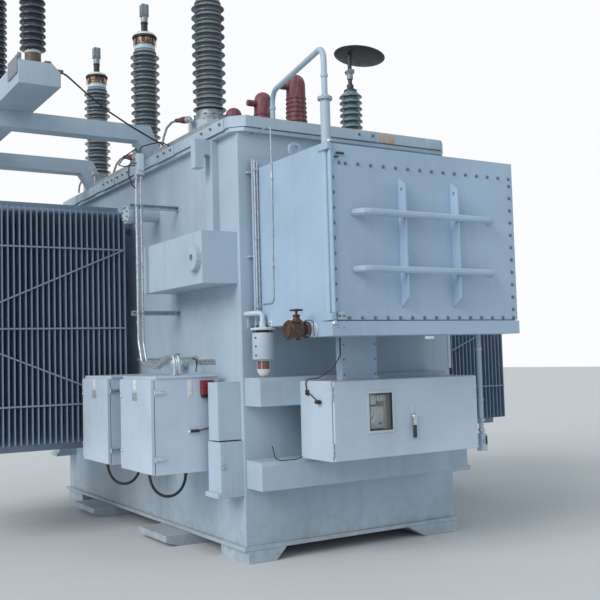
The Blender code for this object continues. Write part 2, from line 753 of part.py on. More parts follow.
def stiffeners():
    for side, name, end in ((-1, "left", LEFT_BEAM_END), (1, "right", RIGHT_BEAM_END)):
        wall = side * (TANK_WIDTH / 2 + SEAT)
        outer = side * (TANK_WIDTH / 2 + UPPER_BEAM_OUT)
        near, far = sorted((wall, outer))
        low, high = (near, FRONT + BEAM_START, UPPER_BEAM_BOTTOM), (far, FRONT + end, UPPER_BEAM_TOP)
        beam = box(low, high)
        eye_y = FRONT + BEAM_START + PAD_EYE_SETBACK
        centre = (0, eye_y, UPPER_BEAM_BOTTOM + UPPER_BEAM_HEIGHT / 2)
        start, stop = sorted((outer - side * WELD, outer + side * PAD_EYE_THICK))
        eye = rod(PAD_EYE_RADIUS, start, stop, LV_SIDES, centre, "X")
        start, stop = sorted((outer + side * WELD, outer + side * (PAD_EYE_THICK + OVERRUN)))
        hole = rod(PAD_EYE_HOLE, start, stop, PIPE_SIDES, centre, "X")
        piece(f"upper_beam_{name}", [beam, eye], PAINT, cuts=[hole])
    outer = LEFT - MID_BEAM_OUT
    low = (outer, FRONT + BEAM_START, MID_BEAM_BOTTOM)
    high = (LEFT - SEAT, FRONT + MID_BEAM_END, MID_BEAM_BOTTOM + MID_BEAM_HEIGHT)
    piece("mid_beam_left", [box(low, high)], PAINT)


def bands():
    """Two level boxes across the front wall and two across the back, sloped along the top edge."""
    upper = ("upper", UPPER_BAND_BOTTOM, UPPER_BAND_HEIGHT)
    lower = ("lower", LOWER_BAND_BOTTOM, LOWER_BAND_HEIGHT)
    x0, x1 = LEFT + BAND_INSET, RIGHT - BAND_SHORT_END
    for row, bottom, height in (upper, lower):
        for wall, sign, name in ((FRONT, -1, "front"), (BACK, 1, "rear")):
            near, far = wall + sign * SEAT, wall + sign * BAND_OUT
            chamfered = [(near, bottom), (far, bottom), (far, bottom + height - BAND_BEVEL)]
            chamfered += [(far - sign * BAND_BEVEL, bottom + height), (near, bottom + height)]
            piece(f"{name}_band_{row}", [shell(chamfered, "X", x0, x1)], PAINT)


def tap_housing_shells():
    """The housing's box with one rounded edge, its sill, its flange and neck, and two gussets."""
    r, front = TAP_CORNER_RADIUS, TAP_RIM_FRONT
    outline = [(TAP_RIGHT, TAP_FLANGE_FRONT + WELD), (TAP_LEFT, TAP_FLANGE_FRONT + WELD)]
    for i in range(TAP_CORNER_STEPS + 1):
        angle = math.pi / 2 * i / TAP_CORNER_STEPS
        outline.append((TAP_LEFT + r - r * math.cos(angle), front + r - r * math.sin(angle)))
    outline.append((TAP_RIGHT, front))
    shells = [shell(outline, "Z", TAP_BOTTOM, TAP_TOP)]
    low = (TAP_LEFT, TAP_DOOR_FRONT + TAP_DOOR_THICK - TAP_SILL_OUT, TAP_BOTTOM - TAP_SILL_HEIGHT)
    high = (TAP_RIGHT + WELD, front + TAP_SILL_DEPTH, TAP_BOTTOM + WELD)
    shells.append(box(low, high))
    flange_left = TAP_LEFT - TAP_FLANGE_OUT
    low = (flange_left, TAP_FLANGE_FRONT, TAP_BOTTOM + WELD)
    high = (TAP_RIGHT + TAP_NECK_INSET, FRONT - TAP_FLANGE_BACK, TAP_TOP + TAP_FLANGE_RISE)
    shells.append(box(low, high))
    low = (flange_left + 2 * TAP_NECK_INSET, TAP_FLANGE_FRONT + WELD, TAP_BOTTOM + TAP_NECK_INSET)
    high = (TAP_RIGHT - TAP_NECK_INSET, FRONT - SEAT, TAP_TOP - TAP_NECK_INSET)
    shells.append(box(low, high))
    for drop_share in GUSSET_DROP_SHARES:
        z = TAP_TOP - drop_share * (TAP_TOP - TAP_BOTTOM)
        low = (flange_left - GUSSET_OUT / 2, FRONT - TAP_FLANGE_BACK - WELD, z)
        high = (flange_left + GUSSET_OUT + TAP_NECK_INSET, FRONT - SEAT, z + GUSSET_THICK)
        shells.append(box(low, high))
    return shells


def tap_changer_housing():
    """Hollow and open at the front, with two lifting eyes and the brackets of the door's rod."""
    shells = tap_housing_shells()
    low = (TAP_LEFT + TAP_WALL, TAP_RIM_FRONT - OVERRUN, TAP_BOTTOM + TAP_FLOOR)
    high = (TAP_RIGHT - TAP_WALL, TAP_FLANGE_FRONT - WELD, TAP_TOP - TAP_LINTEL_HEIGHT)
    cuts = [box(low, high)]
    eye_y = FRONT - TAP_FLANGE_BACK - EYE_SETBACK
    for x in (TAP_LEFT + EYE_FROM_SIDE, TAP_RIGHT - EYE_FROM_SIDE):
        centre = (x, eye_y, TAP_TOP + EYE_STEM)
        shells.append(rod(EYE_RADIUS, -EYE_THICK / 2, EYE_THICK / 2, LV_SIDES, centre, "Y"))
        cuts.append(rod(EYE_HOLE, -EYE_THICK, EYE_THICK, PIPE_SIDES, centre, "Y"))
    hinge_x, hinge_y, bottom = TAP_HINGE
    for z, is_upper in ((bottom, False), (TAP_DOOR_TOP - TAP_BRACKET_HEIGHT, True)):
        low = (hinge_x - TAP_BRACKET_REACH, hinge_y - TAP_ROD_RADIUS, z)
        high = (hinge_x - TAP_ROD_RADIUS / 2, TAP_RIM_FRONT + TAP_BRACKET_DEPTH, z + TAP_BRACKET_HEIGHT)
        shells.append(box(low, high))
        start = z - WELD if is_upper else z + WELD
        end = z + TAP_BRACKET_HEIGHT + (-WELD if is_upper else WELD)
        shells.append(rod(TAP_ROD_RADIUS, start, end, PIPE_SIDES, (hinge_x, hinge_y, 0)))
    piece("tap_changer_housing", shells, PAINT, cuts=cuts, smooth=ROUND_EDGE)


def tap_changer_door():
    """A panel clear of the brackets at its hinge corners, and the rod that its clamps hold."""
    hinge_x, hinge_y, bottom = TAP_HINGE
    panel_low = (hinge_x, TAP_DOOR_FRONT, bottom + SEAT)
    panel_high = (TAP_RIGHT, TAP_DOOR_FRONT + TAP_DOOR_THICK, TAP_DOOR_TOP)
    corner_right = hinge_x + TAP_ROD_RADIUS + RUNNING_GAP
    rod_low = bottom + TAP_BRACKET_HEIGHT + WELD + PIVOT_GAP
    rod_high = TAP_DOOR_TOP - TAP_BRACKET_HEIGHT - WELD - PIVOT_GAP
    cuts = []
    for start, end in ((bottom - OVERRUN, rod_low), (rod_high, TAP_DOOR_TOP + OVERRUN)):
        low = (hinge_x - OVERRUN, TAP_DOOR_FRONT - OVERRUN, start)
        high = (corner_right, TAP_DOOR_FRONT + OVERRUN, end)
        cuts.append(box(low, high))
    added = [rod(TAP_ROD_RADIUS, rod_low, rod_high, PIPE_SIDES, (hinge_x, hinge_y, 0))]
    inset = RUNNING_GAP + TAP_CLAMP_HEIGHT / 2
    for z in (rod_low + inset, (rod_low + rod_high) / 2, rod_high - inset):
        low = (hinge_x - WELD, hinge_y - WELD, z - TAP_CLAMP_HEIGHT / 2)
        high = (hinge_x + 2 * TAP_ROD_RADIUS, TAP_DOOR_FRONT + WELD, z + TAP_CLAMP_HEIGHT / 2)
        added.append(box(low, high))
    panel = box(panel_low, panel_high)
    piece("tap_changer_door", [panel], PAINT, cuts=cuts, added=added, pivot=TAP_HINGE)


def tap_changer_handles():
    """Two flat bars on edge down the door, and the two round rails that pass through them."""
    face = TAP_DOOR_FRONT - SEAT
    out = face - FLAT_OUT
    top = FLAT_BOTTOM + FLAT_HEIGHT
    side = [(face, FLAT_BOTTOM), (face, top)]
    side += [(out, top - FLAT_SLOPE), (out, FLAT_BOTTOM + FLAT_SLOPE)]
    shells, cuts = [], []
    for i in range(FLAT_COUNT):
        x = TAP_LEFT + FLAT_LEFT + i * FLAT_SPACING
        shells.append(shell(side, "X", x, x + FLAT_THICK))
        hole = (x, (face + out) / 2, top - FLAT_SLOPE - 2 * FLAT_HOLE)
        cuts.append(rod(FLAT_HOLE, -OVERRUN, OVERRUN + FLAT_THICK, PIPE_SIDES, hole, "X"))
    y = face - RAIL_STAND
    left, right = TAP_LEFT + RAIL_LEFT, TAP_RIGHT - RAIL_RIGHT
    for z in (UPPER_RAIL_Z, LOWER_RAIL_Z):
        path = [(left, face, z), (left, y, z), (right, y, z), (right, face, z)]
        shells.append(tube(rounded(path, RAIL_BEND, BEND_STEPS), RAIL_RADIUS, PIPE_SIDES))
    piece("tap_changer_handles", shells, PAINT, cuts=cuts, smooth=ROUND_EDGE)


def drive_cabinet():
    x0, x1 = LEFT + DRIVE_LEFT, LEFT + DRIVE_LEFT + DRIVE_WIDTH
    back = FRONT - BAND_OUT - SEAT
    front = back - DRIVE_DEPTH
    z0, z1 = DRIVE_BOTTOM, DRIVE_BOTTOM + DRIVE_HEIGHT
    wall = CABINET_WALL
    body = [box((x0, front, z0), (x1, back, z1))]
    cavity = box((x0 + wall, front - OVERRUN, z0 + wall), (x1 - wall, back - wall, z1 - wall))
    door_back = front - RUNNING_GAP
    door_front = door_back - DOOR_THICK
    axis = (x0 - HINGE_OUT, (door_back + door_front) / 2, z0)
    panel_start = HINGE_OUT + DOOR_INSET
    fixed, moving = knuckles(axis, (1, 0, 0), (0, -1, 0), DRIVE_HEIGHT, panel_start)
    piece("drive_cabinet", body, CABINET_PAINT, cuts=[cavity], added=fixed)

    low = (x0 + DOOR_INSET, door_front, z0 + DOOR_INSET)
    high = (x1 - DOOR_INSET, door_back, z1 - DOOR_INSET)
    panel = box(low, high)
    wx0, wz0 = x0 + WINDOW_LEFT, z0 + WINDOW_BOTTOM
    wx1, wz1 = wx0 + WINDOW_WIDTH, wz0 + WINDOW_HEIGHT
    opening = box((wx0, door_front - OVERRUN, wz0), (wx1, door_back + OVERRUN, wz1))
    hx, hz = x0 + HANDLE_FROM_LEFT, z0 + HANDLE_FROM_BOTTOM
    plate_top = hz + HANDLE_PLATE_WIDTH / 2
    plate = box(
        (hx - HANDLE_PLATE_WIDTH / 2, door_front - HANDLE_PLATE_THICK, plate_top - HANDLE_PLATE_HEIGHT),
        (hx + HANDLE_PLATE_WIDTH / 2, door_front + WELD, plate_top),
    )
    piece("drive_door", [panel, plate, *moving], CABINET_PAINT, cuts=[opening], pivot=axis)
    pane = box(
        (wx0 + SEAT, door_front + WINDOW_RIM, wz0 + SEAT),
        (wx1 - SEAT, door_front + WINDOW_RIM + GLASS_THICK, wz1 - SEAT),
    )
    piece("drive_window", [pane], GLASS, pivot=axis)

    face = door_front - HANDLE_PLATE_THICK - PIVOT_GAP
    hub = rod(HANDLE_HUB_RADIUS, face - HANDLE_HUB_LENGTH, face, LV_SIDES, (hx, 0, hz), "Y")
    lever_face = face - HANDLE_HUB_LENGTH + WELD
    half = HANDLE_LEVER_WIDTH / 2
    outline = [(hx - half, hz + half / 2), (hx + half, hz + half / 2)]
    outline += [(hx + half, hz - HANDLE_LEVER_LENGTH + half), (hx, hz - HANDLE_LEVER_LENGTH)]
    outline += [(hx - half, hz - HANDLE_LEVER_LENGTH + half)]
    lever = shell(outline, "Y", lever_face - HANDLE_LEVER_THICK, lever_face)
    piece("drive_handle", [hub, lever], CHROME, smooth=ROUND_EDGE, pivot=(hx, face, hz))

    mechanism_x = (wx0 + wx1) / 2
    mechanism_z = z0 + wall + SEAT
    low = (mechanism_x - DRIVE_BOX_WIDTH / 2, back - wall - SEAT - DRIVE_BOX_DEPTH, mechanism_z)
    high = (mechanism_x + DRIVE_BOX_WIDTH / 2, back - wall - SEAT, mechanism_z + DRIVE_BOX_HEIGHT)
    dial_centre = (mechanism_x, 0, (wz0 + wz1) / 2)
    dial = rod(DIAL_RADIUS, low[1] - DIAL_THICK, low[1] + WELD, LV_SIDES, dial_centre, "Y")
    piece("drive_mechanism", [box(low, high), dial], DARK_PLASTIC)

    column_x = LEFT + SHAFT_BOX_LEFT
    column_y = FRONT - SHAFT_BOX_BACK
    low = (column_x, column_y - SHAFT_BOX_DEPTH / 2, z1 + SEAT)
    high = (column_x + SHAFT_BOX_WIDTH, column_y + SHAFT_BOX_DEPTH / 2, TAP_BOTTOM - SEAT)
    piece("drive_shaft_housing", [box(low, high)], PAINT)


def suction_pipe():
    """The pipe under the tap changer housing, down past the drive cabinet to a closed block."""
    x, y = TAP_RIGHT - SUCTION_FROM_RIGHT, TAP_DOOR_FRONT + SUCTION_FROM_FRONT
    middle = SUCTION_BOTTOM + SUCTION_BLOCK_HEIGHT
    pipe = rod(SUCTION_PIPE_RADIUS, middle - WELD, TAP_BOTTOM - SEAT, PIPE_SIDES, (x, y, 0))
    half = SUCTION_BLOCK_SIZE / 2
    block = box((x - half, y - half, SUCTION_BOTTOM), (x + half, y + half, middle))
    piece("suction_pipe", [block, pipe], PAINT)


def control_cabinets():
    """Two cabinets alike on rails off the left wall, each with a door hinged at its far edge."""
    x1 = LEFT - CONTROL_STANDOFF
    x0 = x1 - CONTROL_DEPTH
    z0, z1 = CONTROL_BOTTOM, CONTROL_BOTTOM + CONTROL_HEIGHT
    front = x0 + DOOR_THICK + RUNNING_GAP
    cap, cap_bottom, wall = CONTROL_CAP_OUT, z1 - CONTROL_CAP_THICK, CABINET_WALL
    for number in range(1, CABINET_COUNT + 1):
        y0 = FRONT + NEAR_CONTROL_SETBACK + (number - 1) * CONTROL_PITCH
        y1 = y0 + CONTROL_WIDTH
        body = [box((front, y0, z0), (x1, y1, cap_bottom + CONTROL_CAP_THICK / 2))]
        body.append(box((front, y0 - cap, cap_bottom), (x1 - WELD, y1 + cap, z1)))
        for z in (z0 + HINGE_INSET, z1 - HINGE_INSET - STANDOFF_RAIL):
            low = (x1 - WELD, y0 + HINGE_INSET, z)
            body.append(box(low, (LEFT - SEAT, y1 - HINGE_INSET, z + STANDOFF_RAIL)))
        low, high = (front - OVERRUN, y0 + wall, z0 + wall), (x1 - wall, y1 - wall, cap_bottom - wall)
        cavity = box(low, high)
        axis = (x0 + DOOR_THICK / 2, y1 + HINGE_OUT, z0)
        panel_start = HINGE_OUT + DOOR_INSET
        fixed, moving = knuckles(axis, (0, -1, 0), (-1, 0, 0), CONTROL_HEIGHT, panel_start)
        name = f"control_cabinet_{number}"
        piece(name, body, CABINET_PAINT, cuts=[cavity], added=fixed)
        low = (x0, y0 + DOOR_INSET, z0 + DOOR_INSET)
        high = (x0 + DOOR_THICK, y1 - DOOR_INSET, cap_bottom - DOOR_INSET)
        piece(f"control_door_{number}", [box(low, high), *moving], CABINET_PAINT, pivot=axis)
    y0 = FRONT + NEAR_CONTROL_SETBACK
    high_z = z1 - SOCKET_DROP
    outer_x = x1 - SOCKET_FROM_WALL
    socket = box(
        (outer_x - SOCKET_SIZE, y0 - SEAT - SOCKET_DEPTH, high_z - SOCKET_SIZE),
        (outer_x, y0 - SEAT, high_z),
    )
    piece("socket_cover", [socket], RED_RUBBER, bevel=SOCKET_BEVEL)


def cable_hoses():
    """A loop of hose under each control cabinet, from one nut on its underside to another."""
    for number in range(1, CABINET_COUNT + 1):
        y0 = FRONT + NEAR_CONTROL_SETBACK + (number - 1) * CONTROL_PITCH + HOSE_SETBACK
        x0 = LEFT - CONTROL_STANDOFF - CONTROL_DEPTH + HOSE_INSET
        start = Vector((x0, y0, CONTROL_BOTTOM - SEAT - WELD))
        end = start + Vector((HOSE_SPREAD, -HOSE_LEAN, 0))
        pull = Vector((0, 0, -HOSE_DROP * 4 / 3))
        path = []
        for i in range(HOSE_STEPS + 1):
            t = i / HOSE_STEPS
            near, far = (1 - t) ** 2, t ** 2
            point = near * (start * (1 + 2 * t) + 3 * t * pull)
            path.append(point + far * (end * (3 - 2 * t) + 3 * (1 - t) * pull))
        shells = [tube(path, HOSE_RADIUS, HOSE_SIDES)]
        for place in (start, end):
            shells.append(rod(NUT_RADIUS, -NUT_HEIGHT, WELD, KNUCKLE_SIDES, place))
        piece(f"cable_hose_{number}", shells, BLACK_RUBBER, smooth=ROUND_EDGE)


def radiator_mesh():
    """One radiator with its first plate at x = 0 and the stack along +X, as a mesh."""
    stack = (PLATE_COUNT - 1) * PLATE_PITCH + PLATE_THICK
    height = RADIATOR_TOP - RADIATOR_BOTTOM
    half, neck = PLATE_WIDTH / 2, HEADER_WIDTH / 2 - WELD
    edge = HEADER_HEIGHT + PLATE_SHOULDER
    right = [(neck, HEADER_HEIGHT - WELD), (neck, HEADER_HEIGHT), (half, edge)]
    right += [(half, height - edge), (neck, height - HEADER_HEIGHT), (neck, height - HEADER_HEIGHT + WELD)]
    outline = right + [(-y, z) for y, z in reversed(right)]
    shells = []
    pipe, flange, thick = HEADER_PIPE_RADIUS, HEADER_FLANGE_RADIUS, HEADER_FLANGE_THICK
    start = -RADIATOR_STANDOFF + SEAT
    profile = [(0, start), (flange, start), (flange, start + thick), (pipe, start + thick)]
    profile += [(pipe, WELD), (0, WELD)]
    for z in (0, height - HEADER_HEIGHT):
        low = (-WELD, -HEADER_WIDTH / 2, z)
        shells.append(box(low, (stack + WELD, HEADER_WIDTH / 2, z + HEADER_HEIGHT)))
    for z in (HEADER_PIPE_INSET, height - HEADER_PIPE_INSET):
        shells.append(turned(profile, PIPE_SIDES, (0, 0, z), "X"))
    for i in range(PLATE_COUNT):
        x = i * PLATE_PITCH
        shells.append(shell(outline, "X", x, x + PLATE_THICK))
    obj = piece("radiator_shape", shells, PAINT)
    mesh = obj.data
    bpy.data.objects.remove(obj, do_unlink=True)
    return mesh


def radiators():
    mesh = radiator_mesh()
    wall = TANK_WIDTH / 2 + RADIATOR_STANDOFF
    left = (-1, "left", LEFT_RADIATOR_COUNT, LEFT_BANK_SETBACK)
    right = (1, "right", RIGHT_RADIATOR_COUNT, RIGHT_BANK_SETBACK)
    for side, name, count, setback in (left, right):
        for i in range(count):
            y = FRONT + setback + PLATE_WIDTH / 2 + i * (PLATE_WIDTH + RADIATOR_GAP)
            obj = bpy.data.objects.new(f"radiator_{name}_{i + 1}", mesh)
            obj.location = (side * wall, y, RADIATOR_BOTTOM)
            obj.rotation_euler = (0, 0, math.pi if side < 0 else 0)
            bpy.context.scene.collection.objects.link(obj)
        braces(side, name, wall, FRONT + setback)


def braces(side, name, inner, front):
    """Flat straps across the plate edges: three level ones tied by two slanting ones."""
    outer = inner + (PLATE_COUNT - 1) * PLATE_PITCH + PLATE_THICK
    half = STRAP_WIDTH / 2
    far, near = front - SEAT - STRAP_THICK, front - SEAT
    shells = []
    for z in (UPPER_STRAP_Z, MIDDLE_STRAP_Z, LOWER_STRAP_Z):
        xs = sorted((side * inner, side * outer))
        shells.append(box((xs[0], far, z - half), (xs[1], near, z + half)))
    for z0, z1 in ((UPPER_STRAP_Z, MIDDLE_STRAP_Z), (LOWER_STRAP_Z, MIDDLE_STRAP_Z)):
        x0, x1 = side * (inner + STRAP_WIDTH), side * (outer - STRAP_WIDTH)
        slant = [(x0, z0 - half), (x0, z0 + half), (x1, z1 + half), (x1, z1 - half)]
        shells.append(shell(slant, "Y", far - STRAP_SHIFT, near - STRAP_SHIFT))
    piece(f"radiator_braces_{name}", shells, PAINT)


def shed_profile(root, shed, count, span, start):
    """A porcelain column's outline from its foot up: the sheds' tips and the roots between them."""
    pitch = span / count
    profile = [(0, start), (root, start)]
    for i in range(count):
        low = start + i * pitch
        profile += [(shed, low + pitch / 3), (root, low + pitch * 2 / 3)]
    profile += [(root, start + span), (0, start + span)]
    return profile


def high_voltage_bushings():
    for i in range(PHASE_COUNT):
        base = COVER_TOP + HV_TURRET_HEIGHT + SEAT
        place = (LEFT + HV_INSET, FRONT + HV_FIRST + i * HV_PITCH, base)
        foot = HV_FLANGE_HEIGHT + HV_FOOT_HEIGHT
        profile = shed_profile(HV_ROOT_RADIUS, HV_SHED_RADIUS, HV_SHED_COUNT, HV_SHED_SPAN, foot)[1:]
        flange = [(0, 0), (HV_FLANGE_RADIUS, 0), (HV_FLANGE_RADIUS, HV_FLANGE_HEIGHT)]
        column = turned(flange + [(HV_ROOT_RADIUS, HV_FLANGE_HEIGHT)] + profile, HV_SIDES, place)
        piece(f"hv_bushing_{i + 1}", [column], PORCELAIN, smooth=SHED_EDGE)
        top = foot + HV_SHED_SPAN + SEAT
        sight = top + HV_COLLAR_HEIGHT
        neck = sight + HV_SIGHT_HEIGHT
        clamp = neck + HV_NECK_HEIGHT
        peak = clamp + HV_CLAMP_HEIGHT
        cap = [(0, top), (HV_COLLAR_RADIUS, top), (HV_COLLAR_RADIUS, sight), (HV_SIGHT_RADIUS, sight)]
        cap += [(HV_SIGHT_RADIUS, neck), (HV_NECK_RADIUS, neck), (HV_NECK_RADIUS, clamp)]
        cap += [(HV_CLAMP_RADIUS, clamp), (HV_CLAMP_RADIUS, peak), (0, peak)]
        piece(f"hv_cap_{i + 1}", [turned(cap, HV_SIDES, place)], GALVANISED, smooth=ROUND_EDGE)


def arrester_frame():
    beam_x = LEFT - ARM_REACH + BEAM_WIDTH / 2
    arm_bottom = ON_COVER + ARM_RISE
    arm_top = arm_bottom + ARM_HEIGHT
    near, far = BEAM_FRONT + BEAM_NEAR_OVERHANG, BEAM_FRONT + BEAM_LENGTH - BEAM_FAR_OVERHANG
    for number, setback in ((1, near), (2, far)):
        y = FRONT + setback
        end = LEFT - ARM_REACH
        outline = [(end, arm_bottom), (end, arm_top), (LEFT - ARM_KNEE_OUT, arm_top)]
        foot = LEFT + ARM_FOOT_IN
        outline += [(foot, ON_COVER), (foot - ARM_FOOT_LENGTH, ON_COVER)]
        outline.append((LEFT - ARM_KNEE_UNDER, arm_bottom))
        arm = shell(outline, "Y", y - ARM_WIDTH / 2, y + ARM_WIDTH / 2)
        piece(f"arrester_arm_{number}", [arm], PAINT)
    bottom = arm_top + SEAT
    low = (beam_x - BEAM_WIDTH / 2, FRONT + BEAM_FRONT, bottom)
    high = (beam_x + BEAM_WIDTH / 2, FRONT + BEAM_FRONT + BEAM_LENGTH, bottom + BEAM_HEIGHT)
    outline = [(low[0], low[2]), (high[0], low[2]), (high[0], high[2] - BEAM_CHAMFER)]
    outline += [(high[0] - BEAM_CHAMFER, high[2]), (low[0], high[2])]
    piece("arrester_beam", [shell(outline, "Y", low[1], high[1])], PAINT)
    for i in range(PHASE_COUNT):
        place = (beam_x, FRONT + BEAM_FRONT + ARRESTER_FIRST + i * ARRESTER_PITCH, high[2] + SEAT)
        base = ARRESTER_BASE_HEIGHT
        foot = base + ARRESTER_NECK_HEIGHT
        sheds = shed_profile(ARRESTER_ROOT, ARRESTER_SHED, ARRESTER_SHED_COUNT, ARRESTER_SPAN, foot)
        top = foot + ARRESTER_SPAN
        profile = [(0, 0), (ARRESTER_BASE_RADIUS, 0), (ARRESTER_BASE_RADIUS, base)]
        profile += [(ARRESTER_NECK_RADIUS, base), (ARRESTER_NECK_RADIUS, foot), *sheds[1:-1]]
        profile += [(ARRESTER_ROOT / 2, top), (ARRESTER_ROOT / 2, top + ARRESTER_CAP_HEIGHT)]
        profile.append((0, top + ARRESTER_CAP_HEIGHT))
        column = turned(profile, ARRESTER_SIDES, place)
        piece(f"arrester_{i + 1}", [column], PORCELAIN, smooth=SHED_EDGE)


def low_voltage_side():
    """Three covered bushings in a row, a neutral bushing under its tilted disc, and an arrester."""
    x = RIGHT - LV_INSET
    foot, height, cap = LV_BOOT_RADIUS, LV_BOOT_HEIGHT, LV_BOOT_TOP_RADIUS
    neck = foot - LV_BOOT_NECK / 2
    body = height - LV_BOOT_NECK
    for i in range(PHASE_COUNT):
        place = (x, FRONT + LV_FIRST + i * LV_PITCH, COVER_TOP + LV_TURRET_HEIGHT + SEAT)
        profile = [(0, 0), (foot, 0), (foot, body / 2), (neck, body / 2 + LV_BOOT_NECK)]
        profile += [(cap, body), (cap / 2, height), (0, height)]
        boot = turned(profile, LV_SIDES, place)
        outlet = (place[0], place[1], place[2] + body - LV_LUG_RADIUS - LV_BOOT_NECK)
        reach = LV_BOOT_RADIUS + LV_LUG_LENGTH
        lug = rod(LV_LUG_RADIUS, -reach, 0, PIPE_SIDES, outlet, "X")
        piece(f"lv_boot_{i + 1}", [boot, lug], RED_RUBBER, smooth=ROUND_EDGE)

    place = (RIGHT - NEUTRAL_INSET, FRONT + NEUTRAL_SETBACK, ON_COVER)
    foot = NEUTRAL_FOOT_HEIGHT
    sheds = shed_profile(NEUTRAL_ROOT, NEUTRAL_SHED, NEUTRAL_SHED_COUNT, NEUTRAL_SPAN, foot)
    top = foot + NEUTRAL_SPAN
    profile = [(0, 0), (NEUTRAL_FOOT_RADIUS, 0), (NEUTRAL_FOOT_RADIUS, foot), *sheds[1:-1]]
    profile += [(NEUTRAL_STUD_RADIUS, top), (NEUTRAL_STUD_RADIUS, top + NEUTRAL_STUD_HEIGHT)]
    profile.append((0, top + NEUTRAL_STUD_HEIGHT))
    column = turned(profile, LV_SIDES, place)
    piece("neutral_bushing", [column], GREEN_PORCELAIN, smooth=SHED_EDGE)

    profile = [(0, 0), (DISC_RADIUS, 0), (DISC_RADIUS, DISC_THICK / 2), (0, DISC_THICK)]
    disc = turned(profile, LV_SIDES, (0, 0, 0))
    lift = (NEUTRAL_STUD_RADIUS - DISC_SHIFT) * math.tan(DISC_TILT) + SEAT
    tilt = Matrix.Rotation(DISC_TILT, 4, "Y")
    spot = Vector(place) + Vector((DISC_SHIFT, 0, top + NEUTRAL_STUD_HEIGHT + lift))
    bmesh.ops.transform(disc, matrix=Matrix.Translation(spot) @ tilt, verts=disc.verts)
    piece("guard_disc", [disc], DARK_PLASTIC, smooth=ROUND_EDGE)

    place = (RIGHT - SMALL_ARRESTER_INSET, FRONT + SMALL_ARRESTER_SETBACK, ON_COVER)
    root, shed, span = SMALL_ARRESTER_ROOT, SMALL_ARRESTER_SHED, SMALL_ARRESTER_SPAN
    sheds = shed_profile(root, shed, SMALL_ARRESTER_COUNT, span, NEUTRAL_FOOT_HEIGHT)
    column = turned([(0, 0), (root, 0), *sheds[1:]], ARRESTER_SIDES, place)
    piece("small_arrester", [column], BROWN_PORCELAIN, smooth=SHED_EDGE)


def vent_pipe():
    x = LEFT + TAP_LEFT_INSET + VENT_INSET
    y = FRONT - TAP_DEPTH + VENT_FROM_FRONT
    base = TAP_TOP + SEAT
    lower = rod(VENT_LOWER_RADIUS, base, base + VENT_FLANGE_RISE, PIPE_SIDES, (x, y, 0))
    joint = base + VENT_FLANGE_RISE
    flange = rod(VENT_FLANGE_RADIUS, joint - VENT_FLANGE_THICK, joint, LV_SIDES, (x, y, 0))
    end = (LEFT + VENT_END_INSET, FRONT + VENT_END_SETBACK)
    path = [(x, y, joint - WELD), (x, y, base + VENT_RISE)]
    path += [(*end, COVER_TOP + VENT_END_RISE), (*end, ON_COVER)]
    upper = tube(path, VENT_UPPER_RADIUS, PIPE_SIDES)
    piece("vent_pipe", [lower, flange, upper], PAINT, smooth=ROUND_EDGE)


def conduit_riser():
    """Two conduits down the left wall, held off it by two short struts."""
    shells = []
    for z in (UPPER_STRUT_Z, LOWER_STRUT_Z):
        y = FRONT + CONDUIT_SETBACK
        low = (LEFT - STRUT_REACH, y - STRUT_WIDTH / 2, z - STRUT_HEIGHT / 2)
        high = (LEFT - SEAT, y + STRUT_WIDTH / 2, z + STRUT_HEIGHT / 2)
        shells.append(box(low, high))
    cabinet_top = CONTROL_BOTTOM + CONTROL_HEIGHT + SEAT
    for i in range(CONDUIT_COUNT):
        x = LEFT - CONDUIT_OUT - i * CONDUIT_SPACING
        y = FRONT + CONDUIT_SETBACK
        path = [(x, y, CONDUIT_TOP_Z)]
        for forward, rise in zip(CONDUIT_FORWARD, CONDUIT_RISE):
            path.append((x, y - forward, cabinet_top + rise))
        path.append((x, y - CONDUIT_FORWARD[-1], cabinet_top))
        bent = rounded(path, CONDUIT_BEND, BEND_STEPS)
        shells.append(tube(bent, CONDUIT_RADIUS, PIPE_SIDES))
    piece("conduit_riser", shells, GALVANISED, smooth=ROUND_EDGE)


def breather():
    """A drying canister on the front wall's pipe: a metal case, a sight glass and an oil cup."""
    x, y = LEFT + BREATHER_INSET, FRONT - BREATHER_FORWARD
    place = (x, y, 0)
    top = BREATHER_BOTTOM + BREATHER_CASE_HEIGHT
    collar = top + BREATHER_COLLAR_THICK
    case = rod(BREATHER_RADIUS, BREATHER_BOTTOM, top - WELD, LV_SIDES, place)
    lid = rod(BREATHER_COLLAR_RADIUS, top - 2 * WELD, collar, LV_SIDES, place)
    aside = x - BREATHER_SIDESTEP
    path = [(x, y, collar - WELD), (x, y, BREATHER_PIPE_TOP)]
    path += [(aside, y + BREATHER_SIDESTEP, BREATHER_PIPE_TOP), (aside, FRONT - SEAT, BREATHER_PIPE_TOP)]
    pipe = tube(path, BREATHER_PIPE_RADIUS, PIPE_SIDES)
    piece("breather_case", [case, lid, pipe], WHITE_METAL, smooth=ROUND_EDGE)
    glass_top = BREATHER_BOTTOM - SEAT
    glass_bottom = glass_top - BREATHER_GLASS_HEIGHT
    glass = rod(BREATHER_GLASS_RADIUS, glass_bottom, glass_top, LV_SIDES, place)
    piece("breather_glass", [glass], RED_RUBBER, smooth=ROUND_EDGE)
    cup_top = glass_bottom - SEAT
    cup_bottom = cup_top - BREATHER_CUP_HEIGHT
    cup = [(0, cup_bottom), (BREATHER_GLASS_RADIUS / 2, cup_bottom)]
    cup += [(BREATHER_GLASS_RADIUS, cup_top), (0, cup_top)]
    piece("breather_cup", [turned(cup, LV_SIDES, place)], WHITE_METAL, smooth=ROUND_EDGE)


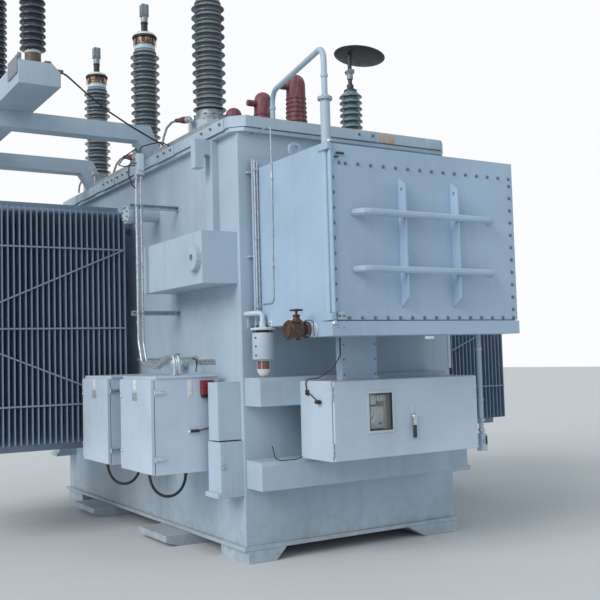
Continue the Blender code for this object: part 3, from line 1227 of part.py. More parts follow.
def drain_valve():
    """A bronze valve on the left side of the tap changer housing, with its handwheel."""
    y = FRONT - TAP_DEPTH + VALVE_FROM_FRONT
    wall = LEFT + TAP_LEFT_INSET - SEAT
    stub = wall - VALVE_STUB
    end = stub - VALVE_LENGTH
    middle = stub - VALVE_LENGTH / 2
    pipe, flange, thick = VALVE_PIPE_RADIUS, VALVE_FLANGE_RADIUS, VALVE_FLANGE_THICK
    low, high = middle - VALVE_BODY_RADIUS, middle + VALVE_BODY_RADIUS
    profile = [(0, end), (flange, end), (flange, end + thick), (pipe, end + thick)]
    profile += [(pipe, low - WELD), (VALVE_BODY_RADIUS, low + WELD), (VALVE_BODY_RADIUS, high - WELD)]
    profile += [(pipe, high + WELD), (pipe, stub - thick), (flange, stub - thick), (flange, stub)]
    profile += [(pipe, stub), (pipe, wall - thick), (flange, wall - thick), (flange, wall), (0, wall)]
    shells = [turned(profile, LV_SIDES, (0, y, VALVE_Z), "X")]
    bonnet_top = VALVE_Z + VALVE_BONNET_HEIGHT
    stem_top = bonnet_top + VALVE_BONNET_RADIUS
    shells.append(rod(VALVE_BONNET_RADIUS, VALVE_Z + WELD, bonnet_top, PIPE_SIDES, (middle, y, 0)))
    shells.append(rod(WHEEL_HUB_RADIUS, bonnet_top - WELD, stem_top, PIPE_SIDES, (middle, y, 0)))
    piece("drain_valve", shells, BRONZE, smooth=ROUND_EDGE)
    valve_handwheel((middle, y, stem_top + PIVOT_GAP))


def ring(centre, radius, wire):
    """A round bar bent into a closed level ring."""
    bm = bmesh.new()
    loops = []
    for i in range(WHEEL_SIDES):
        angle = 2 * math.pi * i / WHEEL_SIDES
        out = Vector((math.cos(angle), math.sin(angle), 0))
        loop = []
        for k in range(WIRE_SIDES):
            turn = 2 * math.pi * k / WIRE_SIDES
            offset = wire * (math.cos(turn) * out + Vector((0, 0, math.sin(turn))))
            loop.append(bm.verts.new(centre + radius * out + offset))
        loops.append(loop)
    for i in range(WHEEL_SIDES):
        after = loops[(i + 1) % WHEEL_SIDES]
        for k in range(WIRE_SIDES):
            m = (k + 1) % WIRE_SIDES
            bm.faces.new((loops[i][k], loops[i][m], after[m], after[k]))
    bmesh.ops.recalc_face_normals(bm, faces=bm.faces)
    return bm


def valve_handwheel(seat):
    """A wire rim on bars across a hub that stands on the valve's stem."""
    hub = Vector(seat) + Vector((0, 0, WHEEL_HUB_HEIGHT / 2))
    shells = [ring(hub, WHEEL_RADIUS, WHEEL_WIRE)]
    shells.append(rod(WHEEL_HUB_RADIUS, 0, WHEEL_HUB_HEIGHT, PIPE_SIDES, seat))
    for i in range(WHEEL_BAR_COUNT):
        angle = math.pi * i / WHEEL_BAR_COUNT
        tip = Vector((math.cos(angle), math.sin(angle), 0)) * WHEEL_RADIUS
        shells.append(tube([hub - tip, hub + tip], WHEEL_WIRE - WELD / 2, WIRE_SIDES))
    piece("valve_handwheel", shells, DARK_PLASTIC, smooth=ROUND_EDGE, pivot=seat)


tank_base()
tank_body()
tank_cover()
stiffeners()
bands()
tap_changer_housing()
tap_changer_door()
tap_changer_handles()
drive_cabinet()
suction_pipe()
control_cabinets()
cable_hoses()
radiators()
high_voltage_bushings()
arrester_frame()
low_voltage_side()
vent_pipe()
conduit_riser()
breather()
drain_valve()
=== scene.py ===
"""The finished look of an oil-filled power transformer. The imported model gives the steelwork, and
this script adds the paint and glaze, the porcelain sheds, the bolts and the small fittings.
Metres, +Z up, the tap changer faces -Y."""

import json
import math

import bmesh
import bpy
from mathutils import Matrix, Vector


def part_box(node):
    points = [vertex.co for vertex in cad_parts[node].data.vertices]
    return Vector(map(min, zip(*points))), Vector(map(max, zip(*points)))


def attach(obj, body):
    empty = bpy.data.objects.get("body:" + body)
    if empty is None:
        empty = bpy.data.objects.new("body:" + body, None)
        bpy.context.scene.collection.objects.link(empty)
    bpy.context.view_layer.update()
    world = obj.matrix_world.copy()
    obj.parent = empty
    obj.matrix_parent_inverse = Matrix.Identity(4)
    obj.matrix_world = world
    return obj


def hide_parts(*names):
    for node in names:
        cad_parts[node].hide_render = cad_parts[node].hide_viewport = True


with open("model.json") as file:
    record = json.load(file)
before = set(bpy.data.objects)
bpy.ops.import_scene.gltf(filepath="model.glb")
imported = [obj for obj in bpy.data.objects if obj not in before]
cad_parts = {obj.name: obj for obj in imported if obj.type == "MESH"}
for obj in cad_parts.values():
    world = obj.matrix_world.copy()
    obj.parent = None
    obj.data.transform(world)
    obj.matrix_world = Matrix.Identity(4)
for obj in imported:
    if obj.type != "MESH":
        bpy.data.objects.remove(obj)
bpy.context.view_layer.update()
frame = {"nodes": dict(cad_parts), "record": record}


def low(node):
    return Vector(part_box(node)[0])


def high(node):
    return Vector(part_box(node)[1])


def middle_of(node):
    """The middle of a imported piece's underside."""
    (x0, y0, z0), (x1, y1, _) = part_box(node)
    return Vector(((x0 + x1) / 2, (y0 + y1) / 2, z0))


def raised(point, height):
    return point + Vector((0, 0, height))


# The camera: a standing eye to the left of the front
EYE = (-4.437, -8.1145, 1.6)
EYE_RIGHT = (0.851384, -0.523823, -0.027468)
EYE_UP = (-0.009242, -0.067337, 0.997687)
EYE_BACK = (-0.524462, -0.849161, -0.062171)
LENS = 54.48

# The tank's walls and the cover's top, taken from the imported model
LEFT, RIGHT = high("control_cabinet_1").x, low("upper_beam_right").x
FRONT = high("front_band_upper").y
COVER_TOP = low("arrester_arm_1").z

# Outer faces that the fittings sit on
HOUSING_FLANGE = -1.8268
HOUSING_SIDE = high("drain_valve").x
TALL_DOOR = -2.8287
TALL_DOOR_PIN = (-0.9, -2.8425)
SILL = -2.8295
DRIVE_DOOR = -2.48
DRIVE_SIDE = -0.6905
CONTROL_DOOR = -1.7102
CONTROL_SIDE = -1.4589

FORWARD, LEFTWARD, RIGHTWARD = (0, -1, 0), (-1, 0, 0), (1, 0, 0)

# How far fittings stay off the face behind them, so that no two faces lie in one plane
TOUCH = 0.0006
SKIN = 0.0003


def set_camera():
    data = bpy.data.cameras.new("view")
    data.lens = LENS
    data.clip_end = 200
    camera = bpy.data.objects.new("view", data)
    turn = Matrix((EYE_RIGHT, EYE_UP, EYE_BACK)).transposed()
    camera.matrix_world = Matrix.Translation(EYE) @ turn.to_4x4()
    bpy.context.scene.collection.objects.link(camera)
    bpy.context.scene.camera = camera


# Wiring of shader and geometry nodes


def add(tree, kind, inputs=None, **settings):
    """A node with its settings and inputs, where an input is a plain value or another's output."""
    made = tree.nodes.new(kind)
    for name, value in settings.items():
        setattr(made, name, value)
    for name, value in (inputs or {}).items():
        if isinstance(value, bpy.types.NodeSocket):
            tree.links.new(value, made.inputs[name])
        else:
            made.inputs[name].default_value = value
    return made


def noise(tree, vector, scale, detail=3.0, roughness=0.55):
    inputs = {"Vector": vector, "Scale": scale, "Detail": detail, "Roughness": roughness}
    return add(tree, "ShaderNodeTexNoise", inputs).outputs["Fac"]


def stretch(tree, vector, scale):
    return add(tree, "ShaderNodeMapping", {"Vector": vector, "Scale": scale}).outputs[0]


def sums(tree, operation, a, b=0.5, clamp=False):
    made = add(tree, "ShaderNodeMath", {0: a, 1: b}, operation=operation, use_clamp=clamp)
    return made.outputs[0]


def spread(tree, value, start, end, to_start=0.0, to_end=1.0):
    """Takes a value from one range to another, and stops at its ends."""
    inputs = {"Value": value, "From Min": start, "From Max": end}
    inputs.update({"To Min": to_start, "To Max": to_end})
    return add(tree, "ShaderNodeMapRange", inputs, clamp=True).outputs[0]


def blend(tree, factor, a, b, mode="MIX"):
    made = tree.nodes.new("ShaderNodeMix")
    made.data_type, made.blend_type, made.clamp_factor = "RGBA", mode, True
    for socket, value in ((made.inputs[0], factor), (made.inputs[6], a), (made.inputs[7], b)):
        if isinstance(value, bpy.types.NodeSocket):
            tree.links.new(value, socket)
        else:
            socket.default_value = (*value, 1.0) if isinstance(value,
                                                               tuple) and len(value) == 3 else value
    return made.outputs[2]


def new_material(name):
    material = bpy.data.materials.new(name)
    material.use_nodes = True
    tree = material.node_tree
    return material, tree, tree.nodes["Principled BSDF"]


def place_of(tree):
    return add(tree, "ShaderNodeTexCoord").outputs["Object"]


def facing_up(tree):
    normal = add(tree, "ShaderNodeNewGeometry").outputs["Normal"]
    return add(tree, "ShaderNodeSeparateXYZ", {0: normal}).outputs[2]


def height_of(tree, place):
    return add(tree, "ShaderNodeSeparateXYZ", {0: place}).outputs[2]


def shine(tree, shader, colour, roughness, height=None, distance=0.001, strength=0.3, edge=0.0):
    """Joins colour, roughness and relief to the shader. An edge radius rounds the sharp edges."""
    tree.links.new(colour, shader.inputs["Base Color"])
    if isinstance(roughness, bpy.types.NodeSocket):
        tree.links.new(roughness, shader.inputs["Roughness"])
    else:
        shader.inputs["Roughness"].default_value = roughness
    relief = None
    if edge:
        relief = add(tree, "ShaderNodeBevel", {"Radius": edge}, samples=4).outputs[0]
    if height is not None:
        inputs = {"Height": height, "Distance": distance, "Strength": strength}
        if relief is not None:
            inputs["Normal"] = relief
        relief = add(tree, "ShaderNodeBump", inputs).outputs[0]
    if relief is not None:
        tree.links.new(relief, shader.inputs["Normal"])


# Finishes

DUST = (0.46, 0.44, 0.39)
RUN_OFF = (0.2, 0.21, 0.2)


def scaled(colour, share, lift=0.0):
    return tuple(min(1.0, share * c + lift) for c in colour)


def times(tree, a, b):
    return sums(tree, "MULTIPLY", a, b)


def plus(tree, a, b):
    return sums(tree, "ADD", a, b)


def minus(tree, a, b, clamp=False):
    return sums(tree, "SUBTRACT", a, b, clamp)


def weathered_paint(name, colour, roughness=0.42, streaks=0.35, dust=0.5, grime=0.5, edge=0.006):
    """Paint gone slightly chalky outdoors: uneven tone, rain streaks, dust and splash dirt."""
    material, tree, shader = new_material(name)
    place = place_of(tree)
    up = facing_up(tree)
    upright = minus(tree, 1.0, sums(tree, "ABSOLUTE", up), clamp=True)
    broad = noise(tree, place, 1.1, 4)
    fine = noise(tree, place, 9, 6, 0.6)
    dark, pale = scaled(colour, 0.88), scaled(colour, 1.09, 0.01)
    tone = blend(tree, spread(tree, broad, 0.32, 0.68), dark, pale)
    tone = blend(tree, spread(tree, fine, 0.45, 0.75, 0.0, 0.35), tone, pale)
    runs = noise(tree, stretch(tree, place, (11, 11, 0.55)), 1.0, 7, 0.62)
    thin_runs = noise(tree, stretch(tree, place, (46, 46, 1.6)), 1.0, 4, 0.6)
    wet = times(tree, spread(tree, runs, 0.5, 0.74), upright)
    tone = blend(tree, times(tree, wet, streaks), tone, RUN_OFF)
    wash = times(tree, spread(tree, thin_runs, 0.52, 0.72), upright)
    tone = blend(tree, times(tree, wash, streaks * 0.55), tone, pale)
    settled = times(tree, spread(tree, up, 0.35, 0.95), spread(tree, fine, 0.2, 0.7, 0.45, 1))
    tone = blend(tree, times(tree, settled, dust), tone, DUST)
    splash = spread(tree, height_of(tree, place), 0.02, 0.55, 1.0, 0.0)
    splash = times(tree, splash, spread(tree, noise(tree, place, 14, 5), 0.35, 0.65))
    tone = blend(tree, times(tree, splash, grime), tone, scaled(DUST, 0.6))
    specks = spread(tree, noise(tree, place, 95, 2), 0.72, 0.76)
    tone = blend(tree, times(tree, specks, 0.35), tone, RUN_OFF)
    rough = spread(tree, plus(tree, fine, times(tree, wet, 0.4)), 0.3, 0.9, roughness - 0.07,
                   roughness + 0.2)
    peel = plus(tree, noise(tree, place, 140, 2), times(tree, fine, 2.0))
    shine(tree, shader, tone, rough, peel, 0.0012, 0.22, edge)
    return material


def zinc(name, colour, roughness=0.42, metal=0.75, edge=0.002):
    """Hot-dip zinc: angular spangle in the grey, and a dull bloom."""
    material, tree, shader = new_material(name)
    place = place_of(tree)
    cells = add(tree, "ShaderNodeTexVoronoi", {"Vector": place, "Scale": 70.0}).outputs["Color"]
    grain = add(tree, "ShaderNodeSeparateXYZ", {0: cells}).outputs[0]
    bloom = noise(tree, place, 16, 5)
    dark, pale = scaled(colour, 0.78), scaled(colour, 1.12)
    tone = blend(tree, spread(tree, grain, 0.1, 0.9), dark, pale)
    tone = blend(tree, spread(tree, bloom, 0.45, 0.7, 0, 0.55), tone, colour)
    rough = spread(tree, bloom, 0.3, 0.7, roughness - 0.08, roughness + 0.14)
    shader.inputs["Metallic"].default_value = metal
    shine(tree, shader, tone, rough, bloom, 0.0008, 0.15, edge)
    return material


def glaze(name, colour, dust=0.4, roughness=0.16):
    """Glazed porcelain: depth under a clear coat, dust lying on each shed's upper side, and painted
    shade on each shed's underside.
    """
    material, tree, shader = new_material(name)
    place = place_of(tree)
    cloud = noise(tree, place, 8, 4)
    speck = noise(tree, place, 260, 2)
    tone = blend(tree, spread(tree, cloud, 0.3, 0.7), scaled(colour, 0.86), colour)
    tone = blend(tree, spread(tree, speck, 0.64, 0.72, 0, 0.4), tone, scaled(colour, 1.5))
    up = facing_up(tree)
    lying = times(tree, spread(tree, up, 0.25, 0.9),
                  spread(tree, noise(tree, place, 22, 5), 0.3, 0.7))
    tone = blend(tree, times(tree, lying, dust), tone, DUST)
    # Painted shade: surfaces facing down are darkened towards a fifth of the glaze's colour.
    under = spread(tree, up, -0.05, -0.55)
    tone = blend(tree, times(tree, under, 0.72), tone, scaled(colour, 0.22))
    rough = spread(tree, lying, 0, 1, roughness, roughness + 0.35)
    shader.inputs["Coat Weight"].default_value = 0.5
    shader.inputs["Coat Roughness"].default_value = 0.12
    shine(tree, shader, tone, rough, cloud, 0.0015, 0.1)
    return material


def moulded(name, colour, pale_share=0.2, roughness=0.5, edge=0.002):
    """Rubber or plastic with the sun's chalky bleaching in streaks."""
    material, tree, shader = new_material(name)
    place = place_of(tree)
    cloud = noise(tree, place, 12, 5)
    runs = noise(tree, stretch(tree, place, (40, 40, 5)), 1.0, 5, 0.6)
    tone = blend(tree, spread(tree, cloud, 0.3, 0.7), scaled(colour, 0.8), colour)
    chalk = scaled(colour, 0.55, 0.28)
    tone = blend(tree, spread(tree, runs, 0.5, 0.75, 0, pale_share), tone, chalk)
    rough = spread(tree, cloud, 0.3, 0.7, roughness - 0.08, roughness + 0.1)
    shine(tree, shader, tone, rough, noise(tree, place, 320, 2), 0.0004, 0.25, edge)
    return material


def aged_bronze(name):
    material, tree, shader = new_material(name)
    place = place_of(tree)
    patch = noise(tree, place, 26, 6, 0.65)
    tone = blend(tree, spread(tree, patch, 0.35, 0.65), (0.055, 0.03, 0.026), (0.15, 0.085, 0.065))
    tone = blend(tree, spread(tree, noise(tree, place, 60, 4), 0.6, 0.72, 0, 0.4), tone,
                 (0.16, 0.17, 0.15))
    shader.inputs["Metallic"].default_value = 0.45
    shine(tree, shader, tone, spread(tree, patch, 0.3, 0.7, 0.4, 0.65), patch, 0.001, 0.5, 0.0015)
    return material


def polished(name, colour=(0.72, 0.73, 0.75)):
    material, tree, shader = new_material(name)
    place = place_of(tree)
    film = noise(tree, place, 55, 4)
    tone = blend(tree, spread(tree, film, 0.5, 0.8, 0, 0.5), colour, scaled(colour, 0.7))
    shader.inputs["Metallic"].default_value = 1.0
    shine(tree, shader, tone, spread(tree, film, 0.3, 0.8, 0.12, 0.34), film, 0.0003, 0.1, 0.0012)
    return material


def pane_glass(name):
    material, tree, shader = new_material(name)
    place = place_of(tree)
    film = noise(tree, place, 18, 5)
    tone = blend(tree, spread(tree, film, 0.4, 0.8), (0.55, 0.62, 0.66), (0.68, 0.7, 0.7))
    shader.inputs["Alpha"].default_value = 0.14
    shine(tree, shader, tone, spread(tree, film, 0.45, 0.8, 0.02, 0.16))
    return material


def drying_beads(name, colour=(0.36, 0.08, 0.075)):
    """Drying beads seen through the sight glass, with painted shade in the gaps between them."""
    material, tree, shader = new_material(name)
    place = place_of(tree)
    beads = add(tree, "ShaderNodeTexVoronoi", {"Vector": place, "Scale": 210.0})
    distance, cell = beads.outputs["Distance"], beads.outputs["Color"]
    share = add(tree, "ShaderNodeSeparateXYZ", {0: cell}).outputs[0]
    tone = blend(tree, spread(tree, share, 0, 1), scaled(colour, 0.7), scaled(colour, 1.35))
    # Painted shade: each bead darkens towards its edge, where the gaps between beads lie.
    tone = blend(tree, spread(tree, distance, 0.3, 0.65), tone, (0.06, 0.02, 0.02))
    shader.inputs["Coat Weight"].default_value = 1.0
    shader.inputs["Coat Roughness"].default_value = 0.04
    dome = minus(tree, 1.0, distance)
    shine(tree, shader, tone, 0.35, dome, 0.002, 0.6)
    return material


def sight_ring(name):
    """Oil behind a ring of glass: red-brown and yellow patches in upright blocks."""
    material, tree, shader = new_material(name)
    place = place_of(tree)
    blocks = noise(tree, stretch(tree, place, (34, 34, 12)), 1.0, 2, 0.4)
    tone = blend(tree, spread(tree, blocks, 0.5, 0.58), (0.11, 0.022, 0.02), (0.46, 0.33, 0.13))
    tone = blend(tree, spread(tree, noise(tree, place, 45, 2), 0.56, 0.62), tone,
                 (0.03, 0.02, 0.025))
    shader.inputs["Coat Weight"].default_value = 0.8
    shine(tree, shader, tone, 0.3, blocks, 0.001, 0.2)
    return material


def bare_plate(name, colour, roughness=0.35):
    """A plate with nothing on it, slightly stained."""
    material, tree, shader = new_material(name)
    place = place_of(tree)
    film = noise(tree, place, 30, 5)
    tone = blend(tree, spread(tree, film, 0.4, 0.75), colour, scaled(colour, 0.82))
    shine(tree, shader, tone, spread(tree, film, 0.3, 0.7, roughness, roughness + 0.15), film,
          0.0004, 0.15, 0.0008)
    return material


PAINT = weathered_paint("sky_grey_paint", (0.385, 0.485, 0.58), streaks=0.16)
DOOR_PAINT = weathered_paint("housing_paint", (0.355, 0.475, 0.61), roughness=0.36, streaks=0.1,
                             grime=0.0)
# The radiators' paint is the tank's paint darkened as painted shade, for the shade among the
# plates.
RADIATOR_PAINT_SHADED = weathered_paint("radiator_paint_painted_shade", (0.21, 0.285, 0.385), roughness=0.5, streaks=0.2)
CABINET_PAINT = weathered_paint("cabinet_paint", (0.47, 0.56, 0.66), roughness=0.34, streaks=0.05,
                                dust=0.3, edge=0.004)
ZINC = zinc("dull_zinc", (0.52, 0.54, 0.56))
CAST_METAL = zinc("cast_aluminium", (0.3, 0.33, 0.37), roughness=0.48, metal=0.5)
BOLT_ZINC = zinc("bolt_zinc", (0.19, 0.23, 0.28), roughness=0.36, metal=0.35, edge=0.0)
GREY_GLAZE = glaze("grey_glaze", (0.2, 0.245, 0.285), dust=0.35)
GREEN_GLAZE = glaze("green_grey_glaze", (0.13, 0.21, 0.26))
BROWN_GLAZE = glaze("brown_glaze", (0.15, 0.085, 0.075))
SIGHT_RING = sight_ring("sight_ring")
MAROON = moulded("maroon_rubber", (0.19, 0.045, 0.065), pale_share=0.7)
RED_PLUG = moulded("red_rubber", (0.27, 0.028, 0.045), pale_share=0.15)
DARK_RED = moulded("dark_red_rubber", (0.13, 0.022, 0.026), pale_share=0.12)
BLACK_RUBBER = moulded("black_rubber", (0.022, 0.022, 0.025), pale_share=0.12, roughness=0.55)
DARK_MOULDING = moulded("dark_moulding", (0.04, 0.043, 0.047), pale_share=0.06, roughness=0.42)
WHITE_ENAMEL = weathered_paint("white_enamel", (0.7, 0.72, 0.73), roughness=0.3, streaks=0.06,
                               dust=0.3, grime=0, edge=0.002)
BROWN_CASTING = moulded("brown_casting", (0.15, 0.1, 0.08), pale_share=0.5)
DARK_GLAZE = glaze("slate_glaze", (0.045, 0.058, 0.082), dust=0.25)
BRIGHT_ZINC = zinc("bright_zinc", (0.52, 0.56, 0.6), roughness=0.36, metal=0.6)
PALE_PAINT = weathered_paint("pale_paint", (0.5, 0.59, 0.66), streaks=0.06, dust=0.3, grime=0.0,
                             edge=0.002)
CANISTER_PAINT = weathered_paint("canister_paint", (0.42, 0.5, 0.58), streaks=0.08, dust=0.3,
                                 grime=0.0)
BRONZE = aged_bronze("aged_bronze")
CHROME = polished("chrome")
GLASS = pane_glass("window_glass")
BEADS = drying_beads("silica_beads")
WHITE_PLATE = bare_plate("white_plate", (0.74, 0.75, 0.76))
PANEL_GREY = bare_plate("panel_grey", (0.58, 0.61, 0.63), roughness=0.45)
GREY_PLATE = bare_plate("grey_plate", (0.33, 0.36, 0.4))
TAN_PLATE = bare_plate("tan_plate", (0.5, 0.4, 0.28), roughness=0.5)

DOOR_NODES = ("tap_changer_housing", "tap_changer_door", "tap_changer_handles",
              "drive_shaft_housing")
SLOT_FINISHES = {
    "paint": PAINT, "cabinet_paint": CABINET_PAINT, "galvanised": ZINC,
    "grey_porcelain": GREY_GLAZE, "green_porcelain": GREEN_GLAZE,
    "brown_porcelain": BROWN_GLAZE, "red_rubber": MAROON,
    "dark_plastic": DARK_MOULDING, "bronze": BRONZE, "chrome": CHROME, "window_glass": GLASS,
    "white_metal": WHITE_ENAMEL, "silica_gel": BEADS, "black_rubber": BLACK_RUBBER,
}

# Each finish's usual slot, by the finish's name
USUAL_SLOT = {finish.name: slot for slot, finish in SLOT_FINISHES.items()}
for slot, finishes in (
    ("galvanised", (BRIGHT_ZINC, BROWN_CASTING, CAST_METAL)),
    ("white_metal", (CANISTER_PAINT, PALE_PAINT, WHITE_PLATE)),
    ("red_rubber", (DARK_RED, RED_PLUG, SIGHT_RING)),
    ("cabinet_paint", (GREY_PLATE, PANEL_GREY, TAN_PLATE)),
):
    USUAL_SLOT.update({finish.name: slot for finish in finishes})


def paint_steelwork():
    """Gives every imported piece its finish, by the material slot that the record names for it."""
    slots = {part["node"]: part["material_slot"] for part in frame["record"]["subparts"]}
    for name, obj in frame["nodes"].items():
        finish = SLOT_FINISHES[slots[name]]
        if name in DOOR_NODES:
            finish = DOOR_PAINT
        # Radiators take the darker paint, whose darkness is painted shade.
        if name.startswith("radiator_"):
            finish = RADIATOR_PAINT_SHADED
        if name == "socket_cover":
            finish = RED_PLUG
        obj.data.materials.clear()
        obj.data.materials.append(finish)


# Shapes, gathered in one mesh before they become a piece


def block(bm, corner, other, edge=0.003):
    """A box with softened edges."""
    made = bmesh.ops.create_cube(bm, size=1.0)["verts"]
    corner, other = Vector(corner), Vector(other)
    size = other - corner
    for vert in made:
        vert.co = corner + Vector(size[k] * (vert.co[k] + 0.5) for k in range(3))
    faces = {face for vert in made for face in vert.link_faces}
    edges = list({e for vert in made for e in vert.link_edges})
    bmesh.ops.recalc_face_normals(bm, faces=list(faces))
    edge = min(edge, 0.3 * min(abs(c) for c in size))
    bmesh.ops.bevel(bm, geom=edges, offset=edge, segments=2, affect="EDGES", profile=0.6)


def slab(bm, outline, along, start, end, edge=0.002):
    """An outline of two coordinates pushed along an axis, with softened rims."""
    order = {"X": (1, 2, 0), "Y": (0, 2, 1), "Z": (0, 1, 2)}[along]
    rims = []
    for level in (start, end):
        rim = []
        for a, b in outline:
            point = [0.0, 0.0, 0.0]
            point[order[0]], point[order[1]], point[order[2]] = a, b, level
            rim.append(bm.verts.new(point))
        rims.append(rim)
    count = len(outline)
    faces = [bm.faces.new(rims[0]), bm.faces.new(rims[1])]
    caps = list(faces)
    for i in range(count):
        j = (i + 1) % count
        faces.append(bm.faces.new((rims[0][i], rims[0][j], rims[1][j], rims[1][i])))
    bmesh.ops.recalc_face_normals(bm, faces=faces)
    if edge:
        edges = list({e for cap in caps for e in cap.edges})
        bmesh.ops.bevel(bm, geom=edges, offset=edge, segments=1, affect="EDGES")


SHARP_ANGLE = math.radians(32)
AXES = {
    "Z": Matrix.Identity(3),
    "X": Matrix.Rotation(math.pi / 2, 3, "Y"),
    "Y": Matrix.Rotation(-math.pi / 2, 3, "X"),
}


def lathe(bm, profile, centre, along="Z", sides=36):
    """A profile of (radius, height) turned round an axis through centre, closed at both ends."""
    turn = AXES[along] if isinstance(along, str) else along
    centre = Vector(centre)
    rings = []
    profile = list(profile)
    if profile[0][0] > 0:
        profile.insert(0, (0, profile[0][1]))
    if profile[-1][0] > 0:
        profile.append((0, profile[-1][1]))
    for radius, height in profile:
        if radius == 0:
            rings.append([bm.verts.new(centre + turn @ Vector((0, 0, height)))])
            continue
        ring = []
        for i in range(sides):
            angle = 2 * math.pi * i / sides
            point = Vector((radius * math.cos(angle), radius * math.sin(angle), height))
            ring.append(bm.verts.new(centre + turn @ point))
        rings.append(ring)
    faces = []
    for lower, upper in zip(rings, rings[1:]):
        for i in range(sides):
            j = (i + 1) % sides
            corners = [lower[i % len(lower)], lower[j % len(lower)]]
            corners += [upper[j % len(upper)], upper[i % len(upper)]]
            faces.append(bm.faces.new(list(dict.fromkeys(corners))))
    bmesh.ops.recalc_face_normals(bm, faces=faces)


def rounded_rod(bm, radius, start, end, centre, along="Z", sides=24, edge=0.002):
    profile = [(radius - edge, start), (radius, start + edge), (radius, end - edge),
               (radius - edge, end)]
    lathe(bm, profile, centre, along, sides)


def smooth_path(points, radius, steps=8):
    """Straight runs with an arc at each corner."""
    points = [Vector(point) for point in points]
    out = [points[0]]
    for before, corner, after in zip(points, points[1:], points[2:]):
        back, onward = (before - corner).normalized(), (after - corner).normalized()
        half = back.angle(onward) / 2
        reach = min(radius / math.tan(half), 0.45 * (before - corner).length,
                    0.45 * (after - corner).length)
        bend = reach * math.tan(half)
        centre = corner + (back + onward).normalized() * bend / math.sin(half)
        start, end = corner + back * reach - centre, corner + onward * reach - centre
        sweep = start.rotation_difference(end)
        for i in range(steps + 1):
            partly = sweep.copy()
            partly.angle = sweep.angle * i / steps
            out.append(centre + partly @ start)
    out.append(points[-1])
    return out


def hoop(bm, centre, across, up, radius, sides):
    """Corners in a circle round a point."""
    corners = []
    for k in range(sides):
        angle = math.tau * k / sides
        way = math.cos(angle) * across + math.sin(angle) * up
        corners.append(bm.verts.new(centre + radius * way))
    return corners


def skin(bm, hoops, endless=False):
    """Faces from each hoop to the next, and flat ends unless the last hoop meets the first."""
    if endless:
        faces, after = [], hoops[1:] + hoops[:1]
    else:
        faces, after = [bm.faces.new(hoops[0]), bm.faces.new(hoops[-1])], hoops[1:]
    for lower, upper in zip(hoops, after):
        for k in range(len(lower)):
            m = (k + 1) % len(lower)
            faces.append(bm.faces.new((lower[k], lower[m], upper[m], upper[k])))
    bmesh.ops.recalc_face_normals(bm, faces=faces)


def bar(bm, points, radius, sides=14):
    """A round bar, pipe or wire swept along points, with flat closed ends."""
    points = [Vector(point) for point in points]
    first = (points[1] - points[0]).normalized()
    side = Vector((0, 0, 1)) if abs(first.z) < 0.9 else Vector((1, 0, 0))
    across = first.cross(side).normalized()
    hoops = []
    for i, point in enumerate(points):
        before = (point - points[i - 1]).normalized() if i else first
        after = (points[i + 1] - point).normalized() if i + 1 < len(points) else before
        along = (before + after).normalized()
        across = (across - along * across.dot(along)).normalized()
        hoops.append(hoop(bm, point, across, along.cross(across), radius, sides))
    skin(bm, hoops)


def piece(name, bm, material, body="root", slot=None, stands_for=()):
    """Makes the gathered shapes one piece on a body. The slot argument is not used."""
    mesh = bpy.data.meshes.new(name)
    bm.to_mesh(mesh)
    bm.free()
    mesh.materials.append(material)
    mesh.shade_smooth()
    mesh.set_sharp_from_angle(angle=SHARP_ANGLE)
    obj = bpy.data.objects.new(name, mesh)
    bpy.context.scene.collection.objects.link(obj)
    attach(obj, body)
    if stands_for:
        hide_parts(*stands_for)
    return obj


def turned(name, material, profile, centre, along="Z", sides=36, **placing):
    """A piece that is one turned profile."""
    bm = bmesh.new()
    lathe(bm, profile, centre, along, sides)
    return piece(name, bm, material, **placing)


def ring(centre, radius, count, start=0.5):
    """Places round an upright axis, the first one that share of a step from +X."""
    for k in range(count):
        angle = math.tau * (k + start) / count
        yield Vector(centre) + Vector((radius * math.cos(angle), radius * math.sin(angle), 0))


# Geometry node trees


def new_tree(name, inputs):
    """A geometry tree with a geometry input, the named inputs and a geometry output."""
    tree = bpy.data.node_groups.new(name, "GeometryNodeTree")
    tree.is_modifier = True
    tree.interface.new_socket("Geometry", in_out="INPUT", socket_type="NodeSocketGeometry")
    for title, kind, value in inputs:
        made = tree.interface.new_socket(title, in_out="INPUT", socket_type="NodeSocket" + kind)
        if value is not None:
            made.default_value = value
    tree.interface.new_socket("Geometry", in_out="OUTPUT", socket_type="NodeSocketGeometry")
    return tree, add(tree, "NodeGroupInput").outputs


def end_tree(tree, geometry, material):
    real = add(tree, "GeometryNodeRealizeInstances", {"Geometry": geometry}).outputs[0]
    finished = add(tree, "GeometryNodeSetMaterial", {"Geometry": real, "Material": material})
    out = add(tree, "NodeGroupOutput")
    tree.links.new(finished.outputs[0], out.inputs[0])


def moved(tree, geometry, offset):
    made = add(tree, "GeometryNodeTransform", {"Geometry": geometry, "Translation": offset})
    return made.outputs[0]


def vector(tree, x=0.0, y=0.0, z=0.0):
    return add(tree, "ShaderNodeCombineXYZ", {0: x, 1: y, 2: z}).outputs[0]


